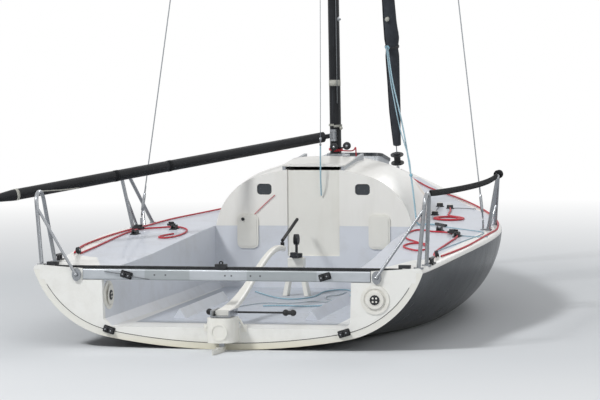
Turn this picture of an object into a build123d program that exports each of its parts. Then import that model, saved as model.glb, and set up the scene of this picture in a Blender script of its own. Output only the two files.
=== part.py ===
from build123d import *
import os
from collections import namedtuple
from math import atan2, cos, degrees, radians, sin, sqrt, tan

# Open-transom sailing sportboat, millimetres.
# While it is built, X is starboard, Y is the distance forward of the transom and Z is up from the waterline.
# Every piece is then moved aft by keel_along, so that the finished origin lies on the waterline over the keel.

os.makedirs("parts", exist_ok=True)

keel_along = 2700
gap = 0.3
sides = (("port", -1), ("starboard", 1))

# Hull and deck moulding
hull_wall = 40
gunwale_radius = 30
rim_depth = 90
Station = namedtuple("Station", "along half_beam sheer bilge_out bilge_up keel_up crown")
stations = [
    Station(0, 1220, 508, 740, 66, 0, -45),
    Station(1300, 1302, 545, 800, -10, -85, -32),
    Station(2500, 1308, 580, 790, -45, -130, 10),
    Station(3650, 1055, 614, 600, -40, -125, 40),
    Station(4500, 712, 680, 330, 0, -85, 45),
    Station(5150, 375, 755, 140, 55, -30, 30),
    Station(5660, 52, 828, 16, 44, 30, 6),
]

# Cockpit well, open through the transom
bulkhead_along = 2480
bulkhead_wall = 40
Well = namedtuple("Well", "along half_top half_foot foot_up half_floor floor_up")
wells = [
    Well(-20, 796, 776, 175, 735, 132),
    Well(1700, 715, 702, 205, 655, 150),
    Well(bulkhead_along, 708, 696, 215, 650, 158),
]
well_roof = 900
ridge_out = 425
ridge_width = 110
ridge_height = 60
ridge_start = 500
ridge_end = 1600

# Cabin and coachroof
cabin_sole = 0
cabin_end = 4350
cabin_half_aft = 560
cabin_half_end = 240
roof_wall = 30
Roof = namedtuple("Roof", "along half_width base shoulder_out shoulder_up top")
roofs = [
    Roof(bulkhead_along, 700, 540, 400, 930, 990),
    Roof(3000, 705, 560, 420, 965, 1035),
    Roof(3600, 640, 570, 370, 945, 1020),
    Roof(4250, 470, 590, 270, 850, 915),
    Roof(4800, 270, 640, 150, 742, 772),
]
companionway_half = 185
companionway_sill = 380
companionway_end = 2790
port_out = 348
port_up = 842
port_width = 104
port_height = 76
port_radius = 24
pane_thickness = 6
fore_hatch_along = 4060
fore_hatch_width = 420
fore_hatch_length = 400
fore_hatch_radius = 60
fore_hatch_thickness = 22

# Traveller across the transom
beam_half = 900
beam_low = 420
beam_high = 485
beam_aft = -4
beam_depth = 52
track_half = 1090
track_width = 18
track_from_fore = 14
track_recess = 44
track_high = 504
stop_length = 50

# Rudder
stock_along = -90
stock_radius = 18
tang_radius = 12
tang_low = -90
housing_half = 85
housing_low = 56
housing_high = 206
blade_top = 30
blade_tip = -1080
blade_chord = 300
blade_tip_chord = 220
blade_thickness = 38
blade_lead = 62
tiller_width_root = 96
tiller_width_tip = 38

# Rig
mast_along = 3240
mast_foot = 1062
mast_head = 9400
mast_rake = 2.5
mast_width = 80
mast_depth = 106
gooseneck_up = 1193
boom_length = 3020
boom_height = 74
boom_width = 58
boom_swing = 34
boom_droop = 6.0
spreader_up = 5000
spreader_out = 660
spreader_back = 300
hounds_up = 8200
chainplate_out = 1206
chainplate_along = 2370
shroud_radius = 4
tack_setback = 70
tack_along = stations[-1].along - tack_setback
tack_up = 880

# Keel
fin_draught = 1380
fin_root_chord = 620
fin_tip_chord = 460
fin_thickness = 62
bulb_length = 1050
bulb_radius = 125


def across(along):
    """The vertical plane across the boat: its x is starboard and its y is up."""
    return Plane(origin=(0, along, 0), x_dir=(1, 0, 0), z_dir=(0, -1, 0))


def box(x, along, up):
    """A box between low and high pairs on each axis."""
    sizes = [high - low for low, high in (x, along, up)]
    middle = [(high + low) / 2 for low, high in (x, along, up)]
    return Pos(*middle) * Box(*sizes)


def tube(points, radius, bends=None):
    """A round bar along straight runs joined by arcs."""
    if bends:
        path = FilletPolyline(*points, radius=bends)
    else:
        path = Polyline(*points) if len(points) > 2 else Line(*points)
    return sweep(Plane(path @ 0, z_dir=path % 0) * Circle(radius), path=path)


def mirrored(shape):
    return mirror(shape, about=Plane.YZ)


def export(shape, node):
    placed = Pos(0, -keel_along, 0) * shape
    export_step(placed, f"parts/{node}.step")


def sheer_at(along):
    """Height of the gunwale, by straight lines between the stations."""
    for aft, fore in zip(stations, stations[1:]):
        if along <= fore.along:
            share = (along - aft.along) / (fore.along - aft.along)
            return aft.sheer + share * (fore.sheer - aft.sheer)
    return stations[-1].sheer


def deck_up(out, along):
    """Height of the deck's own surface, straight above a point."""
    down = Axis((out, along, 3000), (0, 0, -1))
    return max(point.Z for point, normal in deck_rim.find_intersection_points(down))


def underside(shape, out, along):
    """Height of the lowest face of a shape, straight above a point."""
    up = Axis((out, along, -3000), (0, 0, 1))
    return min(point.Z for point, normal in shape.find_intersection_points(up))


def canoe_section(station, inset, top):
    """Round-bilged section: one arc for the bottom, tangent arcs up to the gunwale, then straight up."""
    out = station.half_beam - inset
    corner = (station.bilge_out - 0.3 * inset, station.bilge_up + inset)
    edge = (out, station.sheer - gunwale_radius)
    bottom = ThreePointArc((-corner[0], corner[1]), (0, station.keel_up + inset), corner)
    right = TangentArc(corner, edge, tangent=bottom % 1)
    edges = [bottom, right, mirrored(right)]
    if top > edge[1]:
        edges += [Line(edge, (out, top)), Line((-edge[0], edge[1]), (-out, top))]
    edges.append(Line((-out, top), (out, top)))
    return across(station.along) * make_face(edges)


def rim_section(station):
    """Deck edge with a round gunwale, a crowned top and a tongue that reaches down inside the hull."""
    out = station.half_beam
    low = station.sheer - gunwale_radius + gap
    inside = max(out - hull_wall - gap, 6)
    foot = station.sheer - rim_depth
    radius = min(gunwale_radius, out - 10)
    middle = (out - radius + radius * cos(radians(45)), low + radius * sin(radians(45)))
    shoulder = (out - radius, low + radius)
    corner = ThreePointArc((out, low), middle, shoulder)
    crown = ThreePointArc((-shoulder[0], shoulder[1]), (0, shoulder[1] + station.crown), shoulder)
    step = Line((out, low), (inside, low))
    tongue = Line((inside, low), (inside, foot))
    floor = Line((-inside, foot), (inside, foot))
    edges = [corner, crown, step, tongue, floor, mirrored(corner), mirrored(step), mirrored(tongue)]
    return across(station.along) * make_face(edges)


def roof_section(roof, inset):
    """Crowned roof: one arc over the top and tangent arcs down to the deck."""
    shoulder = (roof.shoulder_out - 0.3 * inset, roof.shoulder_up - inset)
    foot = (roof.half_width - inset, roof.base)
    crown = ThreePointArc((-shoulder[0], shoulder[1]), (0, roof.top - inset), shoulder)
    right = TangentArc(shoulder, foot, tangent=crown % 1)
    edges = [crown, right, mirrored(right), Line((-foot[0], foot[1]), foot)]
    return across(roof.along) * make_face(edges)


def well_section(well):
    right = [(well.half_top, well_roof), (well.half_foot, well.foot_up), (well.half_floor, well.floor_up)]
    left = [(-out, up) for out, up in reversed(right)]
    return across(well.along) * make_face(Polyline(*right, *left, close=True))


# Hull shell and deck moulding
outer_canoe = loft([canoe_section(s, 0, s.sheer - gunwale_radius) for s in stations])
inner_canoe = loft([canoe_section(s, hull_wall, s.sheer + 150) for s in stations[:-1]])
deck_core = loft([canoe_section(s, hull_wall + gap, s.sheer - gunwale_radius) for s in stations[:-1]])
deck_rim = loft([rim_section(s) for s in stations])
hull = outer_canoe - inner_canoe - deck_rim

well_cut = loft([well_section(w) for w in wells], ruled=True)
cabin_cut = loft([
    across(bulkhead_along + bulkhead_wall) * Pos(0, cabin_sole + 600) * Rectangle(2 * cabin_half_aft, 1200),
    across(cabin_end) * Pos(0, cabin_sole + 640) * Rectangle(2 * cabin_half_end, 1200),
])
companionway_cut = box(
    (-companionway_half, companionway_half),
    (bulkhead_along - 60, companionway_end),
    (companionway_sill, 1200),
)
beam_notch = box((-beam_half - 4, beam_half + 4), (beam_aft - 5, beam_aft + beam_depth + 2), (beam_low - 2, 700))
track_along = beam_aft + beam_depth - track_from_fore
track_notch = box(
    (-track_half - stop_length - 2, track_half + stop_length + 2),
    (track_along - track_recess / 2, track_along + track_recess / 2),
    (beam_high, 700),
)
ridge_profile = Polyline(
    (-ridge_width / 2, -20), (ridge_width / 2, -20), (0, ridge_height), close=True
)
floor_slope = (wells[1].floor_up - wells[0].floor_up) / (wells[1].along - wells[0].along)
deck = deck_core + deck_rim - well_cut - cabin_cut
deck = deck - companionway_cut - beam_notch - track_notch
for name, side in sides:
    foot = (side * ridge_out, ridge_start, wells[0].floor_up + floor_slope * ridge_start)
    run = Vector(0, 1, floor_slope)
    plane = Plane(origin=foot, x_dir=(1, 0, 0), z_dir=-run)
    deck += extrude(plane * make_face(ridge_profile), amount=-(ridge_end - ridge_start))
export(hull, "hull")

# Coachroof, seated on the deck
roof_outer = loft([roof_section(r, 0) for r in roofs])
inner_roofs = [roofs[0]._replace(along=bulkhead_along + bulkhead_wall), *roofs[1:-1]]
roof_inner = loft([roof_section(r, roof_wall) for r in inner_roofs])
hatch_hole = extrude(
    Pos(0, fore_hatch_along, 700) * RectangleRounded(
        fore_hatch_width - 60, fore_hatch_length - 60, fore_hatch_radius
    ),
    amount=500,
)
port_holes = [
    extrude(
        Plane(origin=(side * port_out, bulkhead_along - 20, port_up), x_dir=(1, 0, 0), z_dir=(0, -1, 0))
        * RectangleRounded(port_width, port_height, port_radius),
        amount=-(bulkhead_wall + 40),
    )
    for name, side in sides
]
coachroof = roof_outer - roof_inner - deck_rim - deck_core - companionway_cut - hatch_hole
for hole in port_holes:
    coachroof -= hole
deck -= roof_inner & box((-600, 600), (bulkhead_along + bulkhead_wall, 4700), (400, 1200))
export(deck, "deck")
export(coachroof, "coachroof")

# Panes in the aft ports
panes = []
for name, side in sides:
    plane = Plane(origin=(side * port_out, bulkhead_along + 8, port_up), x_dir=(1, 0, 0), z_dir=(0, -1, 0))
    panes.append(extrude(plane * RectangleRounded(port_width, port_height, port_radius), amount=-pane_thickness))
export(Compound(children=panes), "cabin_ports")

# Washboard in the companionway
washboard_top = 975
washboard = box(
    (-companionway_half + 0.5, companionway_half - 0.5),
    (bulkhead_along + 12, bulkhead_along + 28),
    (companionway_sill, washboard_top),
)
export(washboard, "washboard")

# Sliding hatch on two runners
runner_out = 207
runner_width = 22
runner_rise = 5.0
runner_length = 690
runner_height = 1000
runner_depth = 90
hatch_length = 420
hatch_half = 220
hatch_edge = 8
hatch_crown = 12
hatch_plane = Plane(origin=(0, bulkhead_along - 12, runner_height), x_dir=(1, 0, 0),
                    z_dir=(0, -sin(radians(runner_rise)), cos(radians(runner_rise))))
runners = []
for name, side in sides:
    bar = hatch_plane * Pos(side * runner_out, runner_length / 2 + 14, -runner_depth / 2) * Box(
        runner_width, runner_length, runner_depth
    )
    runners.append(bar - roof_outer)
export(Compound(children=[piece for bar in runners for piece in bar.solids()]), "hatch_runners")
lid_section = make_face([
    Line((-hatch_half, gap), (hatch_half, gap)),
    Line((hatch_half, gap), (hatch_half, hatch_edge)),
    ThreePointArc((hatch_half, hatch_edge), (0, hatch_edge + hatch_crown), (-hatch_half, hatch_edge)),
    Line((-hatch_half, hatch_edge), (-hatch_half, gap)),
])
lid = extrude(Plane(origin=(0, 0, 0), x_dir=(1, 0, 0), z_dir=(0, -1, 0)) * lid_section, amount=-hatch_length)
lid_outline = Pos(0, hatch_length / 2, -1) * extrude(RectangleRounded(2 * hatch_half, hatch_length, 40), amount=60)
export(hatch_plane * (lid & lid_outline), "sliding_hatch")

# Hinged hatch forward of the mast, on a frame seated on the roof
fore_hatch_up = 985
roof_slope = degrees(atan2(roofs[3].top - roofs[2].top, roofs[3].along - roofs[2].along))
lid_place = Pos(0, fore_hatch_along, fore_hatch_up) * Rot(roof_slope, 0, 0)
hinge_out = 100
ear_length = 44
ear_radius = 6
ear_clear = 6
fore_lid = extrude(RectangleRounded(fore_hatch_width, fore_hatch_length, fore_hatch_radius), amount=fore_hatch_thickness)
hinge_line = fore_hatch_length / 2
for name, side in sides:
    fore_lid -= box(
        (side * hinge_out - ear_length / 2 - ear_clear, side * hinge_out + ear_length / 2 + ear_clear),
        (hinge_line - ear_radius - ear_clear, hinge_line + 10),
        (-10, fore_hatch_thickness + 10),
    )
export(lid_place * fore_lid, "fore_hatch")
fore_frame = RectangleRounded(fore_hatch_width - 16, fore_hatch_length - 16, fore_hatch_radius - 8)
fore_frame -= RectangleRounded(fore_hatch_width - 60, fore_hatch_length - 60, fore_hatch_radius - 20)
fore_frame = Pos(0, 0, -gap) * extrude(fore_frame, amount=-120)
for name, side in sides:
    fore_frame += box(
        (side * hinge_out - ear_length / 2, side * hinge_out + ear_length / 2),
        (hinge_line - 20, hinge_line + ear_radius),
        (-100, -gap),
    )
    fore_frame += Pos(side * hinge_out, hinge_line, 0) * Rot(0, 90, 0) * Cylinder(ear_radius, ear_length)
export((lid_place * fore_frame - roof_outer).solids().sort_by(Axis.Z)[-1], "fore_hatch_frame")

# Two closed lockers on the bulkhead, a ring panel and a lid each
locker_out = 466
locker_up = 550
locker_width = 150
locker_height = 240
lockers = []
for name, side in sides:
    plane = Plane(origin=(side * locker_out, bulkhead_along - gap, locker_up), x_dir=(1, 0, 0), z_dir=(0, -1, 0))
    frame = extrude(plane * RectangleRounded(locker_width, locker_height, 40), amount=10)
    lip = extrude(plane * RectangleRounded(locker_width - 24, locker_height - 24, 30), amount=14)
    lockers.append(frame + lip)
export(Compound(children=lockers), "bulkhead_lockers")

# Traveller beam, track, end stops and car
beam_middle = (beam_high + beam_low) / 2
beam_profile = RectangleRounded(beam_depth, beam_high - beam_low, 8) - RectangleRounded(
    beam_depth - 8, beam_high - beam_low - 8, 4
)
beam_centre = beam_aft + beam_depth / 2
beam_plane = Plane(origin=(-beam_half, beam_centre, beam_middle), x_dir=(0, 1, 0), z_dir=(1, 0, 0))
beam = extrude(beam_plane * beam_profile, amount=2 * beam_half)
for name, side in sides:
    cap = Plane(origin=(side * (beam_half - 6), beam_centre, beam_middle), x_dir=(0, 1, 0), z_dir=(1, 0, 0))
    beam += extrude(cap * RectangleRounded(beam_depth - 7.8, beam_high - beam_low - 7.8, 4), amount=6 * side)
export(beam, "traveller_beam")

track_low = beam_high + gap
track_body = box((-track_half, track_half), (track_along - track_width / 2, track_along + track_width / 2), (track_low, track_high))
track_groove = 5
for face_side in (-1, 1):
    track_body -= box(
        (-track_half, track_half),
        (track_along + face_side * 9 - 3, track_along + face_side * 9 + 3),
        (track_low + 6, track_low + 6 + track_groove),
    )
export(track_body, "traveller_track")
stops = []
for name, side in sides:
    stop = box(
        (track_half + gap, track_half + gap + stop_length),
        (track_along - 19, track_along + 19),
        (track_high + 1, track_high + 21),
    )
    stop += box(
        (track_half - 20, track_half + gap + stop_length),
        (track_along - 19, track_along + 19),
        (track_high + gap, track_high + 21),
    )
    stops.append(stop if side > 0 else mirrored(stop))
export(Compound(children=stops), "track_stops")

car_length = 70
car_play = 0.5
car_out = -33
car_height = 16
eye_radius = 13
eye_hole = 6
car = box(
    (-car_length / 2, car_length / 2),
    (track_along - 20, track_along + 20),
    (track_low + 4, track_high + car_height),
)
car -= box(
    (-car_length, car_length),
    (track_along - 9 - car_play, track_along + 9 + car_play),
    (0, track_high + car_play),
)
eye_place = Pos(0, track_along + 5, track_high + car_height + eye_radius / 2)
eye = extrude(eye_place * Rot(90, 0, 0) * (Circle(eye_radius) - Circle(eye_hole)), amount=10)
export(Pos(car_out, 0, 0) * (car + eye), "traveller_car")

# Cam cleats on the beam and on the transom lip
cleat_width = 74
cleat_height = 44
cleat_depth = 22
cleat_tilt = 17
beam_cleat_out = 622
beam_cleat_up = 452
lip_cleat_out = 738
lip_cleat_up = 112


def cleat(side, out, up, face):
    """Two ribbed jaws on a base plate, facing aft."""
    plane = Plane(origin=(side * out, face, up), x_dir=(1, 0, 0), z_dir=(0, -1, 0))
    turned = plane * Rot(0, 0, side * cleat_tilt)
    base = extrude(turned * RectangleRounded(cleat_width, cleat_height, 6), amount=6)
    jaws = extrude(turned * RectangleRounded(cleat_width - 10, cleat_height - 14, 10), amount=cleat_depth)
    slot = extrude(turned * Rectangle(cleat_width, 7), amount=cleat_depth + 1) - extrude(
        turned * Rectangle(cleat_width, 7), amount=9
    )
    return base + jaws - slot


cleats = []
for name, side in sides:
    cleats.append(cleat(side, beam_cleat_out, beam_cleat_up, beam_aft - gap))
    cleats.append(cleat(side, lip_cleat_out, lip_cleat_up, -gap))
export(Compound(children=cleats), "cam_cleats")

# Round inspection hatches
inspection_radius = 88
inspection_out = 929
inspection_up = 316
knob_radius = 28


def inspection_hatch(plane):
    ring = plane * Circle(inspection_radius)
    body = extrude(ring, amount=7) - extrude(Plane(plane.origin, plane.x_dir, plane.z_dir) * Circle(
        inspection_radius - 20), amount=7)
    cover = extrude(plane * Circle(inspection_radius - 24), amount=5)
    knob = extrude(plane * Circle(knob_radius), amount=14)
    lobes = [extrude(plane * Pos(knob_radius * cos(radians(a)), knob_radius * sin(radians(a))) * Circle(9), amount=14)
             for a in range(0, 360, 60)]
    base = extrude(plane * Circle(inspection_radius - 10), amount=3)
    result = body + base + cover + knob
    for lobe in lobes:
        result += lobe
    return result


starboard_hatch_plane = Plane(origin=(inspection_out, -gap, inspection_up), x_dir=(1, 0, 0), z_dir=(0, -1, 0))
wall_hatch_along = 110


def well_wall(along, up):
    """A point on the starboard wall of the cockpit well, between its first two sections."""
    share = (along - wells[0].along) / (wells[1].along - wells[0].along)
    foot = wells[0].half_foot + share * (wells[1].half_foot - wells[0].half_foot)
    top = wells[0].half_top + share * (wells[1].half_top - wells[0].half_top)
    foot_up = wells[0].foot_up + share * (wells[1].foot_up - wells[0].foot_up)
    return Vector(foot + (top - foot) * (up - foot_up) / (well_roof - foot_up), along, up)


spot = well_wall(wall_hatch_along, inspection_up)
wall_run = well_wall(wall_hatch_along + 100, inspection_up) - spot
wall_rise = well_wall(wall_hatch_along, inspection_up + 100) - spot
inward = wall_run.cross(wall_rise).normalized() * -1
spot = spot + inward * gap
wall_hatch_plane = Plane(
    origin=(-spot.X, spot.Y, spot.Z), x_dir=(-wall_run.X, wall_run.Y, wall_run.Z), z_dir=(-inward.X, inward.Y, inward.Z)
)
export(
    Compound(children=[inspection_hatch(starboard_hatch_plane), inspection_hatch(wall_hatch_plane)]),
    "inspection_hatches",
)

# Rudder housing on the transom, with its struts
housing_aft = stock_along - 75
housing = box((-housing_half, housing_half), (housing_aft, -gap), (housing_low, housing_high))
housing = fillet(housing.edges().filter_by(Axis.Z).group_by(Axis.Y)[0], 60)
ring = extrude(
    Plane(origin=(0, housing_aft + 2, housing_low + 66), x_dir=(1, 0, 0), z_dir=(0, -1, 0))
    * (Circle(52) - Circle(42)), amount=6)
stock_bore_play = 0.05
housing = housing + ring - Pos(0, stock_along, 140) * Cylinder(stock_radius + stock_bore_play, 400)
for name, side in sides:
    strut = tube(
        [(side * 82, -40, housing_high - 5), (side * 96, -20, housing_high - 20), (side * 118, -6, housing_high - 72)],
        7, 8)
    housing += strut
    housing += box((side * 118 - 16, side * 118 + 16), (-6, -gap), (housing_high - 96, housing_high - 52))
export(housing, "rudder_housing")

# Rudder stock with its forked head
head_low = housing_high + 4
head_high = 250
stock = Pos(0, stock_along, (blade_top + gap + head_low + 3) / 2) * Cylinder(stock_radius, head_low + 3 - blade_top - gap)
stock += Pos(0, stock_along, (tang_low + blade_top + 10) / 2) * Cylinder(tang_radius, blade_top + 10 - tang_low)
head_plate_thickness = 6
head_plate = box((-62, 62), (stock_along - 46, stock_along + 150), (head_low, head_low + head_plate_thickness))
head = stock + head_plate
for name, side in sides:
    head += box(
        (side * 57 - 5, side * 57 + 5), (stock_along - 40, stock_along + 150), (head_low, head_high)
    )
export(head, "rudder_head")

# Rudder blade: a symmetric foil, tapered to its tip
def foil(chord, thickness, lead, along, up):
    """Round nose, widest at a third of the chord, easing to a fine tail, mirrored about the centreline."""
    half = thickness / 2
    tail = lead - chord
    right = Spline(
        (0, lead), (0.7 * half, lead - 0.07 * chord), (half, lead - 0.3 * chord),
        (0.55 * half, lead - 0.7 * chord), (1.5, tail),
        tangents=((1, 0), (-0.1, -1)),
    )
    plane = Plane(origin=(0, along, up), x_dir=(1, 0, 0), z_dir=(0, 0, 1))
    return plane * make_face([right, mirrored(right), Line((-1.5, tail), (1.5, tail))])


blade = loft([
    foil(blade_tip_chord, blade_thickness * 0.5, blade_lead - 15, stock_along, blade_tip),
    foil(blade_chord, blade_thickness, blade_lead, stock_along, blade_top),
])
blade -= Pos(0, stock_along, (tang_low - gap + blade_top + 10) / 2) * Cylinder(
    tang_radius + gap, blade_top + 10 + gap - tang_low
)
export(blade, "rudder_blade")

# Tiller: tapered, rising from the fork and levelling off at its tip
Bend = namedtuple("Bend", "along up width depth")
bends = [
    Bend(stock_along + 24, head_low + head_plate_thickness + gap + 16, tiller_width_root, 32),
    Bend(250, 262, 74, 40),
    Bend(620, 350, 52, 42),
    Bend(1110, 484, 42, 40),
    Bend(1560, 500, tiller_width_tip, 36),
]
ribs = []
for index, bend in enumerate(bends):
    before = bends[max(index - 1, 0)]
    after = bends[min(index + 1, len(bends) - 1)]
    run = Vector(0, after.along - before.along, after.up - before.up)
    plane = Plane(origin=(0, bend.along, bend.up), x_dir=(1, 0, 0), z_dir=run)
    ribs.append(plane * RectangleRounded(bend.width, bend.depth, bend.depth * 0.4))
tiller = loft(ribs)
export(tiller, "tiller")
tip = bends[-1]
joint_height = 26
joint_low = tip.up + tip.depth / 2 + 0.5
export(Pos(0, tip.along - 24, joint_low + joint_height / 2 - 6) * Cylinder(13, joint_height + 12) - tiller,
       "tiller_joint")
extension_rise = 6
extension_turn = 6
extension_length = 820
extension_radius = 11
extension_up = joint_low + joint_height + extension_radius * cos(radians(extension_rise)) + gap
extension_start = Vector(0, tip.along - 24, extension_up)
extension_run = Vector(
    -sin(radians(extension_turn)) * cos(radians(extension_rise)),
    cos(radians(extension_turn)) * cos(radians(extension_rise)),
    sin(radians(extension_rise)),
)
export(tube([extension_start, extension_start + extension_run * extension_length], extension_radius),
       "tiller_extension")

# Cross bar under the tiller, with a ball at one end and a grip at the other
bar_along = 150
bar_up = 216
bar_port = -140
bar_starboard = 388
bar_radius = 6
ball_radius = 20
grip_length = 46
grip_radius = 13
ball_half = sqrt(ball_radius ** 2 - bar_radius ** 2)
grip_half = sqrt(ball_radius ** 2 - grip_radius ** 2)
grip_start = bar_starboard - grip_length
outline = [
    ThreePointArc((bar_port - ball_radius, 0), (bar_port, ball_radius), (bar_port + ball_half, bar_radius)),
    Line((bar_port + ball_half, bar_radius), (grip_start - ball_half, bar_radius)),
    ThreePointArc((grip_start - ball_half, bar_radius), (grip_start, ball_radius), (grip_start + grip_half, grip_radius)),
    Line((grip_start + grip_half, grip_radius), (bar_starboard - grip_half, grip_radius)),
    ThreePointArc((bar_starboard - grip_half, grip_radius), (bar_starboard, ball_radius), (bar_starboard + ball_radius, 0)),
    Line((bar_starboard + ball_radius, 0), (bar_port - ball_radius, 0)),
]
bar = Pos(0, bar_along, bar_up) * revolve(make_face(outline), Axis.X)
lug_top = underside(tiller, 0, bar_along - 10) - gap
bar += box((-14, 14), (bar_along - 10, bar_along + 10), (bar_up, lug_top))
export(bar, "cross_bar")

# Mainsheet pedestal
pedestal_along = 1950
pedestal_foot = wells[1].floor_up + 4
pedestal_top = 345
pedestal = box((-55, 55), (pedestal_along - 38, pedestal_along + 38), (pedestal_top, pedestal_top + 66))
pedestal = fillet(pedestal.edges(), 8)
for name, side in sides:
    leg = loft([
        Plane(origin=(side * 74, pedestal_along, pedestal_foot)) * RectangleRounded(34, 90, 8),
        Plane(origin=(side * 36, pedestal_along, pedestal_top + 4)) * RectangleRounded(30, 60, 8),
    ])
    pedestal += leg
export(pedestal, "mainsheet_pedestal")
swivel = Pos(0, pedestal_along, pedestal_top + 66 + gap + 14) * Cylinder(40, 28)
swivel += box((-26, 26), (pedestal_along - 95, pedestal_along - 20), (pedestal_top + 72, pedestal_top + 84))
swivel += box((-22, 22), (pedestal_along - 98, pedestal_along - 60), (pedestal_top + 80, pedestal_top + 106))
export(swivel, "swivel_cleat")
block_up = pedestal_top + 188
ratchet = Pos(0, pedestal_along, block_up) * Rot(0, 90, 0) * Cylinder(36, 30)
ratchet += Pos(0, pedestal_along, pedestal_top + 66 + 28 + gap * 2 + 35) * Cylinder(9, 70)
export(ratchet, "ratchet_block")

# Stern hoops with their braces
hoop_radius = 12.5
hoop_out = 1185
hoop_top_out = 1225
hoop_top = 949
hoop_aft = 57
hoop_fore = 327
hoop_set_back = 120
brace_out = 941
brace_up = 450
foot_thickness = 6
for name, side in sides:
    aft_up = deck_up(hoop_out, hoop_aft)
    fore_up = deck_up(hoop_out, hoop_fore)
    hoop = tube(
        [
            (side * hoop_out, hoop_aft, aft_up),
            (side * hoop_top_out, hoop_aft + 20, hoop_top),
            (side * hoop_top_out, hoop_fore - hoop_set_back, hoop_top),
            (side * hoop_out, hoop_fore, fore_up),
        ],
        hoop_radius, 70,
    )
    for along, up in ((hoop_aft, aft_up), (hoop_fore, fore_up)):
        hoop += Pos(side * hoop_out, along, up) * Cylinder(30, 2 * foot_thickness)
    brace_head = (side * (hoop_top_out - 8), hoop_aft + 16, hoop_top - 90)
    brace_foot = (side * brace_out, -24, brace_up)
    hoop += tube([brace_head, brace_foot], 9)
    pad = Plane(origin=(side * brace_out, -gap, brace_up), x_dir=(1, 0, 0), z_dir=(0, -1, 0))
    hoop += extrude(pad * Ellipse(28, 40), amount=16) + Pos(*brace_foot) * Sphere(12)
    export(hoop - deck_rim, f"stern_hoop_{name}")

# Side hoops, abreast of the cockpit's forward end
side_hoop_aft = 2310
side_hoop_fore = 2745
side_hoop_out = 1250
side_hoop_top_out = 1325
side_hoop_top = 962
for name, side in sides:
    aft_foot = Vector(side * side_hoop_out, side_hoop_aft, deck_up(side_hoop_out, side_hoop_aft))
    second_foot = Vector(side * (side_hoop_out - 8), side_hoop_aft + 82, aft_foot.Z)
    strut_foot = Vector(side * (side_hoop_out - 26), side_hoop_aft + 210, aft_foot.Z)
    fore_out = side_hoop_out - 20
    fore_foot = Vector(side * fore_out, side_hoop_fore, deck_up(fore_out, side_hoop_fore))
    aft_top = Vector(side * side_hoop_top_out, side_hoop_aft - 35, side_hoop_top)
    fore_top = Vector(side * (side_hoop_top_out - 20), side_hoop_aft + 90, side_hoop_top - 20)
    main = tube([aft_foot, aft_top, fore_top, fore_foot], hoop_radius, 28)
    main += tube([second_foot, aft_foot + (aft_top - aft_foot) * 0.6], hoop_radius - 2.5)
    main += tube([strut_foot, fore_foot + (fore_top - fore_foot) * 0.44], hoop_radius - 4.5)
    for foot in (aft_foot, second_foot, strut_foot, fore_foot):
        main += Pos(foot.X, foot.Y, foot.Z) * Cylinder(22, 2 * foot_thickness)
    export(main - deck_rim, f"side_hoop_{name}")

# Mast, raked aft, with its step
mast_axis = Vector(0, -sin(radians(mast_rake)), cos(radians(mast_rake)))
mast_base = Vector(0, mast_along, mast_foot)
mast_length = (mast_head - mast_foot) / mast_axis.Z
mast_plane = Plane(origin=mast_base, x_dir=(1, 0, 0), z_dir=mast_axis)


def mast_at(up):
    return mast_base + mast_axis * ((up - mast_foot) / mast_axis.Z)


taper_start = mast_length * 0.72
mast = extrude(mast_plane * Ellipse(mast_width / 2, mast_depth / 2), amount=taper_start)
mast += loft([
    mast_plane.offset(taper_start) * Ellipse(mast_width / 2, mast_depth / 2),
    mast_plane.offset(mast_length) * Ellipse(mast_width / 3, mast_depth / 3),
])
mast_sleeve = extrude(mast_plane * Ellipse(mast_width / 2 + gap, mast_depth / 2 + gap), amount=taper_start)
export(mast, "mast")
step_depth = 60
step = extrude(mast_plane.offset(-gap) * RectangleRounded(110, 140, 20), amount=-step_depth)
step += extrude(mast_plane.offset(-14) * RectangleRounded(170, 210, 24), amount=-step_depth)
export((step - roof_outer).solids().sort_by(Axis.Z)[-1], "mast_step")

# Spreaders, shrouds and forestay
spreader_tips = {side: Vector(side * spreader_out, mast_at(spreader_up).Y - spreader_back, spreader_up + 30)
                 for name, side in sides}
spreaders = []
for name, side in sides:
    root = mast_at(spreader_up) + Vector(side * (mast_width / 2 + 1), 0, 0)
    run = spreader_tips[side] - root
    bar_plane = Plane(origin=root, z_dir=run)
    spreaders.append(extrude(bar_plane * Circle(13), amount=run.length - shroud_radius - 2 - gap) - mast_sleeve)
export(Compound(children=spreaders), "spreaders")
hounds = mast_at(hounds_up)
shrouds = []
for name, side in sides:
    foot = Vector(side * chainplate_out, chainplate_along, deck_up(chainplate_out, chainplate_along) + 70)
    head_spot = hounds + Vector(side * (mast_width / 2 + 6), 0, 0)
    bent = spreader_tips[side]
    shrouds.append(tube([foot, bent], shroud_radius) + Pos(*bent) * Sphere(shroud_radius + 2)
                   + tube([bent, head_spot], shroud_radius))
export(Compound(children=shrouds), "shrouds")
plates = []
for name, side in sides:
    up = deck_up(chainplate_out, chainplate_along) - 3
    plate = box((side * chainplate_out - 3, side * chainplate_out + 3),
                (chainplate_along - 22, chainplate_along + 22), (up, up + 69))
    plate += box((side * chainplate_out - 12, side * chainplate_out + 12),
                 (chainplate_along - 45, chainplate_along + 45), (up, up + 9))
    plates.append(plate - deck_rim)
export(Compound(children=plates), "chainplates")

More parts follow.
